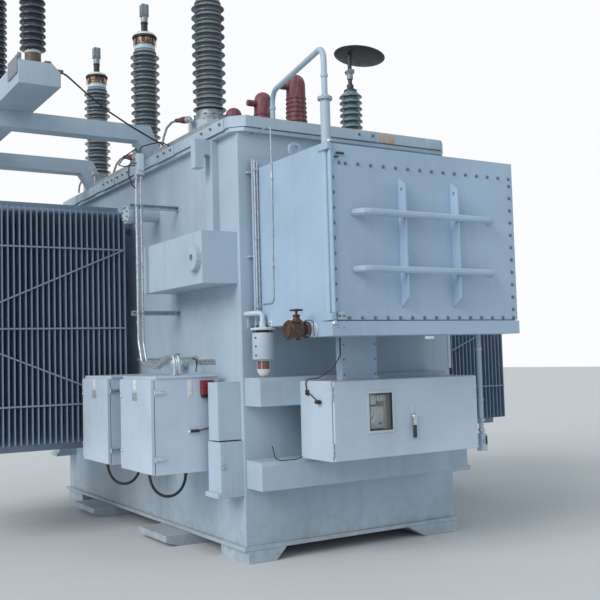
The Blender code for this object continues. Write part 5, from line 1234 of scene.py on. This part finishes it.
def tall_door():
    """The bolts round the tall door's rim, its corner plates and the hinge hardware."""
    face = TALL_DOOR
    for start, end, count in (((-0.873, 2.864), (-0.876, 1.885), 10),
                              ((-0.652, 2.974), (0.834, 2.983), 14),
                              ((-0.765, 1.864), (0.829, 1.864), 15),
                              ((0.835, 2.925), (0.83, 1.93), 11)):
        bolt_line((start[0], face, start[1]), (end[0], face, end[1]), count, FORWARD, 0.019,
                  "tap_door")
    bolt((-0.814, face, 2.973), FORWARD, 0.019, "tap_door")
    bolt((-0.76, face, 2.972), FORWARD, 0.019, "tap_door")
    bm = bmesh.new()
    block(bm, (-0.866, face - 0.005, 1.853), (-0.8, face, 1.906), 0.002)
    piece("door_corner_plate", bm, PALE_PAINT, body="tap_door", slot="cabinet_paint")
    bm = bmesh.new()
    block(bm, (-0.842, face - 0.012, 3.034), (-0.775, face, 3.048), 0.002)
    for x in (-0.85, -0.834):
        rounded_rod(bm, 0.006, -0.022, 0.0, (x, face, 3.012), "Y", 12)
    piece("door_catch", bm, DARK_MOULDING, body="tap_door")
    bolt((-0.849, face - 0.005, 1.878), FORWARD, 0.014, "tap_door")
    bolt((-0.815, face - 0.005, 1.878), FORWARD, 0.014, "tap_door")
    bm = bmesh.new()
    lathe(bm, [(0.012, 3.1092), (0.02, 3.112), (0.02, 3.128), (0.012, 3.134)], (*TALL_DOOR_PIN, 0),
          sides=6)
    lathe(bm, [(0.02, 1.82), (0.02, 1.834), (0.014, 1.8475)], (*TALL_DOOR_PIN, 0), sides=6)
    piece("hinge_pin_heads", bm, ZINC)
    bm = bmesh.new()
    gusset = [(-0.908, 1.768), (-0.79, 1.768), (-0.79, 1.822), (-0.87, 1.822), (-0.908, 1.792)]
    slab(bm, gusset, "Y", SILL - 0.003, SILL, 0.001)
    block(bm, (0.7, SILL - 0.003, 1.79), (0.8, SILL, 1.822), 0.001)
    piece("sill_plates", bm, PALE_PAINT, slot="paint")
    for x in (-0.87, -0.82):
        bolt((x, SILL - 0.003, 1.795), FORWARD, 0.014)


def housing_bolts():
    """Bolts along the housing's rear flange, and the small bare tabs on its wall and sill."""
    bolt_line((-0.6, HOUSING_FLANGE, 3.155), (0.9, HOUSING_FLANGE, 3.155), 11, FORWARD, 0.018)
    bolt_line((0.9, HOUSING_FLANGE, 1.95), (0.9, HOUSING_FLANGE, 3.05), 9, FORWARD, 0.018)
    bm = bmesh.new()
    for y in (-2.34, -2.0):
        block(bm, (HOUSING_SIDE - 0.0032, y, 1.845), (HOUSING_SIDE, y + 0.05, 1.885), 0.001)
        bolt((HOUSING_SIDE - 0.0032, y + 0.025, 1.865), LEFTWARD, 0.012)
    block(bm, (-0.085, -2.832, 1.705), (0.0, -2.829, 1.728), 0.001)
    piece("bare_tabs", bm, WHITE_PLATE)


def drive_window():
    """The window's rim and seal, and the boxes and dial that show behind its glass."""
    x0, x1, z0, z1 = -0.366, -0.148, 1.021, 1.304
    face = DRIVE_DOOR
    bm = bmesh.new()
    rim(bm, (x0, z0), (x1, z1), 0.02, face - 0.0052, face + 0.0004)
    piece("window_rim", bm, PALE_PAINT, body="drive_door", slot="cabinet_paint")
    bm = bmesh.new()
    rim(bm, (x0 + 0.001, z0 + 0.001), (x1 - 0.001, z1 - 0.001), -0.006, face - 0.0035, face + 0.009,
        0.0006)
    piece("window_seal", bm, BLACK_RUBBER, body="drive_door")
    back = low("drive_mechanism").y - 0.0004
    front = back - 0.125
    bm = bmesh.new()
    block(bm, (-0.355, front, 1.215), (-0.25, back, 1.3), 0.004)
    for k in range(3):
        block(bm, (-0.236 + 0.03 * k, front, 1.24), (-0.214 + 0.03 * k, back, 1.285), 0.002)
    piece("relay_boxes", bm, WHITE_ENAMEL)
    bm = bmesh.new()
    block(bm, (-0.35, front + 0.006, 1.03), (-0.17, back, 1.198), 0.004)
    piece("indicator_panel", bm, PANEL_GREY)
    bm = bmesh.new()
    dial = (-0.292, front + 0.006, 1.118)
    lathe(bm, [(0.043, 0.0), (0.046, -0.002), (0.046, -0.01), (0.042, -0.012)], dial, "Y", 40)
    piece("dial_face", bm, WHITE_PLATE)
    bm = bmesh.new()
    for k in range(19):
        angle = math.radians(-45 + 15 * k)
        out = Vector((math.cos(angle), 0, math.sin(angle)))
        bar(bm, [Vector(dial) + 0.034 * out + Vector((0, -0.0122, 0)),
                 Vector(dial) + 0.04 * out + Vector((0, -0.0122, 0))], 0.0009, 6)
    bar(bm, [(dial[0] - 0.01, dial[1] - 0.0135, dial[2] - 0.014),
             (dial[0] + 0.016, dial[1] - 0.0135, dial[2] + 0.027)], 0.0024, 8)
    rounded_rod(bm, 0.006, -0.016, -0.012, dial, "Y", 14, 0.001)
    block(bm, (-0.222, front + 0.0005, 1.06), (-0.196, front + 0.0075, 1.076), 0.001)
    block(bm, (-0.318, front + 0.0005, 1.044), (-0.306, front + 0.0075, 1.06), 0.001)
    piece("dial_marks", bm, DARK_MOULDING)
    bm = bmesh.new()
    block(bm, (-0.162, front + 0.01, 1.02), (-0.144, back, 1.24), 0.002)
    piece("tan_trim", bm, TAN_PLATE)


def drive_cabinet_fittings():
    """Lock plate and swing handle, the cable on the cabinet's side, and the shaft box's feet."""
    face = DRIVE_DOOR
    bm = bmesh.new()
    hub = (0.048, face - 0.001, 1.112)
    lathe(bm, [(0.0165, 0.0), (0.0172, -0.002), (0.0172, -0.007), (0.015, -0.009)], hub, "Y", 28)
    block(bm, (0.0305, face - 0.0048, 1.01), (0.0655, face + 0.0002, 1.21), 0.002)
    piece("lock_plate", bm, PALE_PAINT, body="drive_door", slot="cabinet_paint")
    bm = bmesh.new()
    block(bm, (0.0345, face - 0.036, 0.945), (0.0615, face - 0.0195, 1.045), 0.005)
    piece("handle_grip", bm, BLACK_RUBBER, body="drive_handle")
    bm = bmesh.new()
    lathe(bm, [(0.0185, -0.0105), (0.0195, -0.012), (0.0195, -0.032), (0.016, -0.037),
               (0.005, -0.038)], hub, "Y", 28)
    block(bm, (0.0325, face - 0.0375, 1.05), (0.0635, face - 0.0195, 1.112), 0.006)
    piece("handle_head", bm, CHROME, body="drive_handle")
    bm = bmesh.new()
    side = DRIVE_SIDE
    cable = [(-0.4855, -2.2855, 1.735), (-0.4855, -2.2855, 1.6), (-0.545, -2.27, 1.5),
             (-0.64, -2.2, 1.43), (-0.7, -2.14, 1.425), (side - 0.006, -2.105, 1.4),
             (side - 0.006, -2.12, 1.33), (side - 0.01, -2.27, 1.262)]
    bar(bm, smooth_path(cable, 0.03), 0.0045, 10)
    rounded_rod(bm, 0.016, -0.028, 0.024, (side - 0.0165, -2.29, 1.252), "Y", 18)
    block(bm, (side - 0.012, -2.145, 1.3), (side - SKIN, -2.105, 1.34), 0.003)
    piece("drive_side_cable", bm, BLACK_RUBBER)
    bm = bmesh.new()
    for x in (-0.47, -0.155):
        block(bm, (x - 0.028, -2.3005, 1.412), (x + 0.028, -2.2865, 1.428), 0.002)
    piece("shaft_box_feet", bm, PALE_PAINT, slot="paint")
    for x in (-0.46, -0.165):
        bolt_line((x, -2.2988, 1.45), (x, -2.2988, 1.8), 4, FORWARD, 0.011)


def suction_fittings():
    """Union, clamp and tap on the pipe that runs down beside the drive cabinet."""
    x, y = 0.82, -2.4185
    bm = bmesh.new()
    for z in (1.62, 1.2, 0.95):
        rounded_rod(bm, 0.027, -0.012, 0.012, (x, y, z), sides=24)
    for z0, z1 in ((1.775, 1.793), (1.02, 1.046)):
        rounded_rod(bm, 0.034, z0, z1, (x, y, 0), sides=6, edge=0.003)
    rounded_rod(bm, 0.012, -0.05, -0.03, (x, y, 0.86), "Y", 16)
    piece("pipe_unions", bm, ZINC)
    bm = bmesh.new()
    block(bm, (x - 0.006, y - 0.062, 0.835), (x + 0.006, y - 0.05, 0.905), 0.002)
    piece("pipe_tap_lever", bm, DARK_MOULDING)


def control_cabinet_fittings():
    """Latches, locks and bare plates on the two control cabinets."""
    for i, front in ((1, -1.4525), (2, -0.4675)):
        bm = bmesh.new()
        wall = front - 0.0064
        for z in (0.83, 1.347):
            block(bm, (-1.683, wall - 0.014, z - 0.013), (-1.602, wall, z + 0.013), 0.003)
            rounded_rod(bm, 0.009, -0.022, 0.022, (-1.686, wall - 0.011, z), sides=14)
            block(bm, (-1.66, wall - 0.02, z - 0.006), (-1.615, wall - 0.013, z + 0.008), 0.002)
        piece(f"control_latches_{i}", bm, CHROME)
        middle = (front - 0.001 + low(f"control_door_{i}").y) / 2 + 0.345
        bm = bmesh.new()
        block(bm, (CONTROL_DOOR - 0.0016, middle - 0.052, 1.279),
              (CONTROL_DOOR, middle + 0.051, 1.345), 0.0005)
        piece(f"cabinet_plate_{i}", bm, GREY_PLATE, body=f"control_door_{i}")
        bm = bmesh.new()
        block(bm, (CONTROL_DOOR - 0.0016, middle - 0.03, 1.368),
              (CONTROL_DOOR, middle + 0.03, 1.446), 0.0005)
        piece(f"door_plate_{i}", bm, WHITE_PLATE, body=f"control_door_{i}")
        bm = bmesh.new()
        lock = front + 0.65
        for z in (0.86, 1.31):
            rounded_rod(bm, 0.011, -0.012, -0.0002, (CONTROL_DOOR, lock, z), "X", 20)
            block(bm, (CONTROL_DOOR - 0.0143, lock - 0.003, z - 0.009),
                  (CONTROL_DOOR - 0.0116, lock + 0.003, z + 0.009), 0.0006)
        piece(f"cabinet_locks_{i}", bm, CHROME, body=f"control_door_{i}")


def socket_and_leads():
    """The ribbed red socket on the near cabinet's side, its strap, and the short cable's plug."""
    side = CONTROL_SIDE
    bm = bmesh.new()
    for k in range(6):
        z = 1.327 + 0.0195 * k
        block(bm, (-1.294, -1.5095, z - 0.009), (-1.191, side - 0.001, z + 0.008), 0.004)
    block(bm, (-1.288, -1.503, 1.318), (-1.197, side - 0.001, 1.42), 0.003)
    piece("socket_ribs", bm, RED_PLUG, stands_for=("socket_cover",))
    bm = bmesh.new()
    block(bm, (-1.285, side - 0.038, 1.292), (-1.2, side, 1.3155), 0.003)
    strap = [(-1.194, side - 0.006, 1.383), (-1.13, side - 0.01, 1.31),
             (-1.072, side - 0.006, 1.236)]
    bar(bm, smooth_path(strap, 0.05), 0.005, 8)
    cable = [(-1.075, side - 0.006, 1.22), (-1.085, side - 0.008, 1.15),
             (-1.202, side - 0.008, 1.052), (-1.31, side - 0.01, 1.034)]
    bar(bm, smooth_path(cable, 0.06), 0.0045, 10)
    rounded_rod(bm, 0.0115, -0.04, 0.04, (-1.352, side - 0.0125, 1.033), "X", 20)
    piece("socket_leads", bm, BLACK_RUBBER)
    bm = bmesh.new()
    rounded_rod(bm, 0.013, -0.012, 0.0, (-1.3925, side - 0.0135, 1.032), "X", 22)
    block(bm, (-1.399, side - 0.0022, 1.302), (-1.364, side, 1.457), 0.0008)
    piece("side_plates", bm, WHITE_PLATE)
    for z in (1.315, 1.444):
        bolt((-1.3815, side - 0.0022, z), FORWARD, 0.007)


# Fittings on the cover, the beams and the walls

# The wide end of each sealed plug, then its hose's path from the narrow end
PLUGS = (
    ((-1.085, -0.943, 3.703), [(-1.085, -0.635, 3.768), (-1.085, -0.53, 3.775),
                               (-1.095, -0.44, 3.745), (-1.1, -0.37, 3.66),
                               (-1.1, -0.34, 3.56)]),
    ((-1.09, 0.309, 3.622), [(-1.09, 0.668, 3.696), (-1.09, 0.77, 3.7), (-1.1, 0.86, 3.665),
                             (-1.105, 0.93, 3.6), (-1.105, 0.96, 3.56)]),
    ((-1.09, 1.56, 3.69), [(-1.09, 1.9, 3.73), (-1.09, 2.01, 3.715), (-1.1, 2.09, 3.65),
                           (-1.1, 2.12, 3.57)]),
)
LEFT_RIM_PLATES = ((-1.655, -1.196), (-0.66, -0.252), (0.413, 0.822), (0.86, 1.238), (1.52, 1.9),
                   (2.1, 2.5))
RIGHT_RIM_PLATES = ((-1.3, -0.9), (0.2, 0.6), (1.6, 2.0))


def cover_fittings():
    """Clamping plates at the cover's rim with their bolts, the cable tray, the turrets' bolts."""
    left, front = -1.125, -1.8235
    bm = bmesh.new()
    for y0, y1 in LEFT_RIM_PLATES:
        block(bm, (left - 0.006, y0, 3.44), (left - 0.0005, y1, 3.536), 0.002)
    for x0, x1 in ((0.063, 0.261), (0.82, 1.0)):
        block(bm, (x0, front - 0.006, 3.45), (x1, front - 0.0005, 3.537), 0.002)
    for y0, y1 in RIGHT_RIM_PLATES:
        block(bm, (-left + 0.0005, y0, 3.44), (-left + 0.006, y1, 3.536), 0.002)
    piece("rim_plates", bm, PAINT)
    for y0, y1 in RIGHT_RIM_PLATES:
        bolt_line((-left + 0.006, y0 + 0.06, 3.5), (-left + 0.006, y1 - 0.06, 3.5), 3, RIGHTWARD,
                  0.02)
    for y0, y1 in LEFT_RIM_PLATES[:4]:
        bolt_line((left - 0.006, y0 + 0.06, 3.5), (left - 0.006, y1 - 0.06, 3.5), 3, LEFTWARD, 0.02)
    bolt_line((0.09, front - 0.006, 3.5), (0.235, front - 0.006, 3.5), 2, FORWARD, 0.02)
    bm = bmesh.new()
    block(bm, (0.306, front - 0.003, 3.455), (0.474, front - 0.0005, 3.52), 0.0008)
    piece("bare_tag", bm, TAN_PLATE, slot="white_metal")
    bm = bmesh.new()
    for y0, y1 in ((-1.36, -0.12), (0.14, 1.56)):
        block(bm, (left + 0.012, y0, 3.541), (left + 0.075, y1, 3.546), 0.001)
        for x in (left + 0.012, left + 0.072):
            block(bm, (x, y0, 3.541), (x + 0.003, y1, 3.585), 0.001)
    piece("cable_tray", bm, ZINC)
    for i in (1, 2, 3):
        foot = middle_of(f"hv_bushing_{i}")
        for spot in ring((-0.86, foot.y, foot.z - 0.0004), 0.163, 12):
            bolt(spot, (0, 0, 1), 0.012)


def beam_wiring():
    """Sealed plugs and the cables that run from the arrester beam to the cover's edge."""
    beam_right = high("arrester_beam").x
    bm = bmesh.new()
    tray = (low("tank_cover").x + 0.04, -0.35, 3.6)
    cable = [(beam_right + 0.004, -0.82, 4.005), (beam_right + 0.075, -0.8, 3.995),
             (-1.93, -0.66, 3.905), (-1.7, -0.56, 3.8), (-1.45, -0.47, 3.71), (-1.25, -0.41, 3.645),
             tray]
    bar(bm, smooth_path(cable, 0.25), 0.0075, 12)
    piece("counter_cable", bm, BLACK_RUBBER)
    bm = bmesh.new()
    block(bm, (beam_right - 0.115, -0.862, 4.0365), (beam_right - 0.06, -0.8, 4.07), 0.008)
    rounded_rod(bm, 0.018, -0.045, 0.045, (beam_right, -0.82, 4.005), "X", 20)
    piece("cable_gland", bm, BROWN_CASTING, slot="red_rubber")
    for number, (wide_end, hose) in enumerate(PLUGS, 1):
        plug_and_hose(number, wide_end, hose)


def plug_and_hose(number, wide_end, hose):
    """A red sealed plug on a post, wide at one end, with a grey hose from its narrow end."""
    thin_end, wide_end = Vector(hose[0]), Vector(wide_end)
    along = wide_end - thin_end
    turn = along.to_track_quat("Z", "Y").to_matrix()
    length = along.length
    turned(f"sealed_plug_{number}", DARK_RED,
           [(0.017, 0.0), (0.019, 0.004), (0.019, 0.3 * length), (0.026, 0.34 * length),
            (0.026, 0.46 * length), (0.031, 0.5 * length), (0.031, 0.78 * length),
            (0.028, 0.8 * length)], thin_end, turn, 28)
    bm = bmesh.new()
    foot = wide_end - along * 0.08
    rounded_rod(bm, 0.012, 0.0, foot.z - COVER_TOP - 0.015, (foot.x, foot.y, COVER_TOP + 0.0005),
                sides=16)
    lathe(bm, [(0.03, 0.8 * length), (0.033, 0.81 * length), (0.033, 0.87 * length),
               (0.022, 0.88 * length), (0.022, 0.97 * length), (0.018, length)], thin_end, turn, 28)
    bar(bm, smooth_path(hose, 0.06), 0.011, 14)
    piece(f"plug_hose_{number}", bm, ZINC)


def junction_box():
    """The small box over the conduits, its foot collar and the thin leads round it."""
    x, y = CONDUIT_X[0] + 0.008, CONDUIT_Y + 0.005
    top = CONDUIT_TOP
    bm = bmesh.new()
    block(bm, (x - 0.044, y - 0.034, top + 0.03), (x + 0.016, y + 0.026, top + 0.185), 0.006)
    block(bm, (x - 0.052, y - 0.024, top), (x + 0.01, y + 0.016, top + 0.03), 0.004)
    piece("conduit_box", bm, PALE_PAINT)
    bm = bmesh.new()
    for path in (
        [(x - 0.02, y - 0.01, top + 0.186), (x, y - 0.01, top + 0.25),
         (x + 0.1, y + 0.02, top + 0.29), (x + 0.22, y + 0.06, top + 0.33),
         (x + 0.345, y + 0.09, top + 0.3)],
        [(x - 0.035, y - 0.01, top + 0.186), (x - 0.045, y - 0.01, top + 0.23),
         (x - 0.09, y + 0.14, top + 0.19), (x - 0.06, y + 0.4, top + 0.16),
         (x + 0.08, y + 0.62, top + 0.2), (x + 0.335, y + 0.66, top + 0.26)],
        [(x - 0.044, y - 0.005, top + 0.1), (x - 0.12, y - 0.02, top + 0.09),
         (x - 0.125, y - 0.02, top - 0.02), (x - 0.09, y - 0.01, top - 0.1),
         (x - 0.045, y - 0.005, top - 0.14)],
    ):
        bar(bm, smooth_path(path, 0.05), 0.0055, 10)
    piece("box_leads", bm, BLACK_RUBBER)


def arm_fittings():
    """Ring bosses on the arms' knees, and the plates at the beam's near end."""
    bm = bmesh.new()
    for y in (-0.0685, 1.6115):
        lathe(bm, [(0.018, 0.0), (0.03, -0.001), (0.031, -0.006), (0.028, -0.009), (0.014, -0.009)],
              (-1.117, y - SKIN, 3.74), "Y", 28)
        rounded_rod(bm, 0.008, -0.006, 0.0, (-1.19, y - SKIN, 3.765), "Y", 14)
    piece("arm_bosses", bm, PAINT)
    x, y0 = low("arrester_beam").x, low("arrester_beam").y
    bm = bmesh.new()
    block(bm, (x - 0.012, y0 + 0.02, 3.93), (x - 0.0005, y0 + 0.3, 4.075), 0.002)
    block(bm, (x + 0.002, y0 + 0.02, 4.0365), (x + 0.03, y0 + 0.05, 4.1), 0.002)
    piece("beam_side_plate", bm, CAST_METAL)


def left_wall_fittings():
    """The stub's bolted cover, the small pipe on its saddles, the sampling tap with its lead."""
    stub = (LEFT - 0.31, -0.1185, 2.965)
    bm = bmesh.new()
    rounded_rod(bm, 0.083, -0.022, -SKIN, stub, "X", 36, 0.003)
    piece("stub_cover", bm, PALE_PAINT, slot="paint")
    bolt_circle((stub[0] - 0.0215, stub[1], stub[2]), 0.066, 8, "X", 0.016, -1)
    bm = bmesh.new()
    pipe = [(LEFT - 0.06, -0.99, 1.612), (LEFT - 0.06, 0.3, 1.612)]
    bar(bm, pipe, 0.0105, 14)
    for y in (-0.93, -0.28, 0.22):
        block(bm, (LEFT - 0.075, y - 0.012, 1.598), (LEFT - SKIN, y + 0.012, 1.628), 0.002)
    block(bm, (LEFT - 0.012, -1.287, 1.56), (LEFT - SKIN, -0.919, 1.6), 0.001)
    piece("wall_pipe", bm, ZINC)
    for k in range(5):
        bolt((LEFT - 0.012, -1.26 + 0.075 * k, 1.58), LEFTWARD, 0.012)
    bm = bmesh.new()
    y, z = -0.7, 1.575
    lathe(bm, [(0.04, 0.0), (0.042, -0.003), (0.042, -0.014), (0.026, -0.017), (0.024, -0.075)],
          (LEFT - SKIN, y, z), "X", 28)
    lathe(bm, [(0.03, -0.07), (0.034, -0.055), (0.034, 0.055), (0.03, 0.07)], (LEFT - 0.095, y, z),
          "Y", 6)
    lathe(bm, [(0.018, 0.02), (0.018, 0.05), (0.024, 0.055), (0.024, 0.065), (0.012, 0.07)],
          (LEFT - 0.095, y, z), sides=20)
    piece("sampling_tap", bm, WHITE_ENAMEL)
    bm = bmesh.new()
    block(bm, (LEFT - 0.102, y - 0.065, z + 0.071), (LEFT - 0.088, y + 0.02, z + 0.079), 0.003)
    lead = [(LEFT - 0.072, -0.99, 1.612), (LEFT - 0.072, -1.05, 1.6), (LEFT - 0.08, -1.08, 1.55),
            (LEFT - 0.09, -1.085, 1.4945)]
    bar(bm, smooth_path(lead, 0.04), 0.005, 10)
    piece("tap_lever", bm, BLACK_RUBBER)


def front_fittings():
    """Jacking plugs, the pipes up the housing's corner, the hooked wire and the wall strips."""
    bm = bmesh.new()
    for x in (-1.244, 1.244):
        rounded_rod(bm, 0.025, -0.008, -0.0002, (x, -1.7387, 0.764), "Y", 28)
    piece("jacking_plugs", bm, ZINC)
    bm = bmesh.new()
    for x in (-0.958, -0.936):
        bar(bm, [(x, -1.842, 1.955), (x, -1.842, 3.17)], 0.0075, 12)
    for z in (2.0, 2.55, 3.1):
        block(bm, (-0.97, -1.8515, z - 0.008), (-0.926, HOUSING_FLANGE, z + 0.008), 0.002)
    wall = -0.9265
    run = [(wall, -1.872, 2.022), (wall, -2.02, 2.022), (wall, -2.044, 2.05), (wall, -2.064, 3.0),
           (wall, -2.059, 3.39), (wall, -2.03, 3.405), (wall, -1.8, 3.405),
           (wall, FRONT - 0.0005, 3.405)]
    bar(bm, smooth_path(run, 0.03), 0.0055, 10)
    rounded_rod(bm, 0.011, -0.02, 0.02, (wall, -2.064, 3.008), sides=6)
    for z in (2.3, 2.75):
        block(bm, (-0.932, -2.066, z - 0.006), (HOUSING_SIDE, -2.042, z + 0.006), 0.001)
    piece("sensing_tubes", bm, BRIGHT_ZINC)
    bm = bmesh.new()
    hook = [(-0.956, -2.016, 0.921), (-0.932, -2.016, 0.828), (-0.888, -2.016, 0.804),
            (-0.744, -2.016, 0.803), (-0.707, -2.05, 0.825)]
    bar(bm, smooth_path(hook, 0.03), 0.004, 10)
    piece("hooked_wire", bm, BLACK_RUBBER)
    bm = bmesh.new()
    block(bm, (-1.01, FRONT - 0.005, 1.835), (-0.99, FRONT - SKIN, 1.93), 0.001)
    block(bm, (RIGHT - 0.005, FRONT - 0.004, 1.46), (RIGHT + 0.028, FRONT - SKIN, 3.36), 0.002)
    piece("wall_strips", bm, PALE_PAINT, slot="paint")


def radiator_bolts():
    """Bolts of the radiator headers' flanges."""
    for name in ("left_1", "left_2", "left_3", "right_1", "right_2"):
        y = middle_of("radiator_" + name).y
        x, sign = (LEFT - 0.031, -1) if name.startswith("left") else (RIGHT + 0.031, 1)
        for z in (0.96, 2.96):
            bolt_circle((x, y, z), 0.069, 8, "X", 0.016, sign)


# Stage and lights


def set_stage():
    """A pale floor, a plain bright world, a broad skylight and a faint light from the front."""
    mesh = bpy.data.meshes.new("floor")
    bm = bmesh.new()
    bmesh.ops.create_grid(bm, x_segments=1, y_segments=1, size=60)
    bm.to_mesh(mesh)
    bm.free()
    floor = bpy.data.objects.new("floor", mesh)
    floor.location.z = -0.0005
    material, tree, shader = new_material("pale_floor")
    place = place_of(tree)
    tone = blend(tree, noise(tree, place, 1.5, 4), (0.6, 0.61, 0.62), (0.64, 0.65, 0.66))
    shine(tree, shader, tone, 0.7)
    mesh.materials.append(material)
    bpy.context.scene.collection.objects.link(floor)

    world = bpy.data.worlds.new("studio")
    bpy.context.scene.world = world
    world.use_nodes = True
    tree = world.node_tree
    ground = tree.nodes["Background"]
    ground.inputs["Color"].default_value = (0.84, 0.935, 1.0, 1)
    ground.inputs["Strength"].default_value = 0.62
    seen = add(tree, "ShaderNodeBackground", {"Color": (0.97, 0.98, 1.0, 1), "Strength": 1.0})
    paths = add(tree, "ShaderNodeLightPath")
    direct = sums(tree, "MAXIMUM", paths.outputs["Is Camera Ray"],
                  paths.outputs["Is Transmission Ray"])
    mixed = add(tree, "ShaderNodeMixShader", {0: direct, 1: ground.outputs[0], 2: seen.outputs[0]})
    tree.links.new(mixed.outputs[0], tree.nodes["World Output"].inputs["Surface"])

    for name, way, strength, size in (
        ("sky_light", (-0.86, -0.2, 0.55), 2.0, 40),
        ("front_light", (-0.1, -1.0, 0.45), 0.12, 60),
    ):
        data = bpy.data.lights.new(name, "SUN")
        data.energy = strength
        data.color = (1.0, 0.985, 0.95)
        data.angle = math.radians(size)
        lamp = bpy.data.objects.new(name, data)
        lamp.rotation_mode = "QUATERNION"
        lamp.rotation_quaternion = Vector(way).to_track_quat("Z", "Y")
        bpy.context.scene.collection.objects.link(lamp)
    bpy.context.scene.view_settings.view_transform = "Standard"


set_camera()
paint_steelwork()
high_voltage_bushings()
surge_arresters()
covered_bushings()
neutral_bushing()
tilted_disc()
small_arrester()
vent_pipe()
conduits()
junction_box()
hoses()
breather()
valve()
handwheel()
tall_door()
housing_bolts()
drive_window()
drive_cabinet_fittings()
suction_fittings()
control_cabinet_fittings()
socket_and_leads()
cover_fittings()
beam_wiring()
arm_fittings()
left_wall_fittings()
front_fittings()
radiator_bolts()
set_bolts()
set_stage()
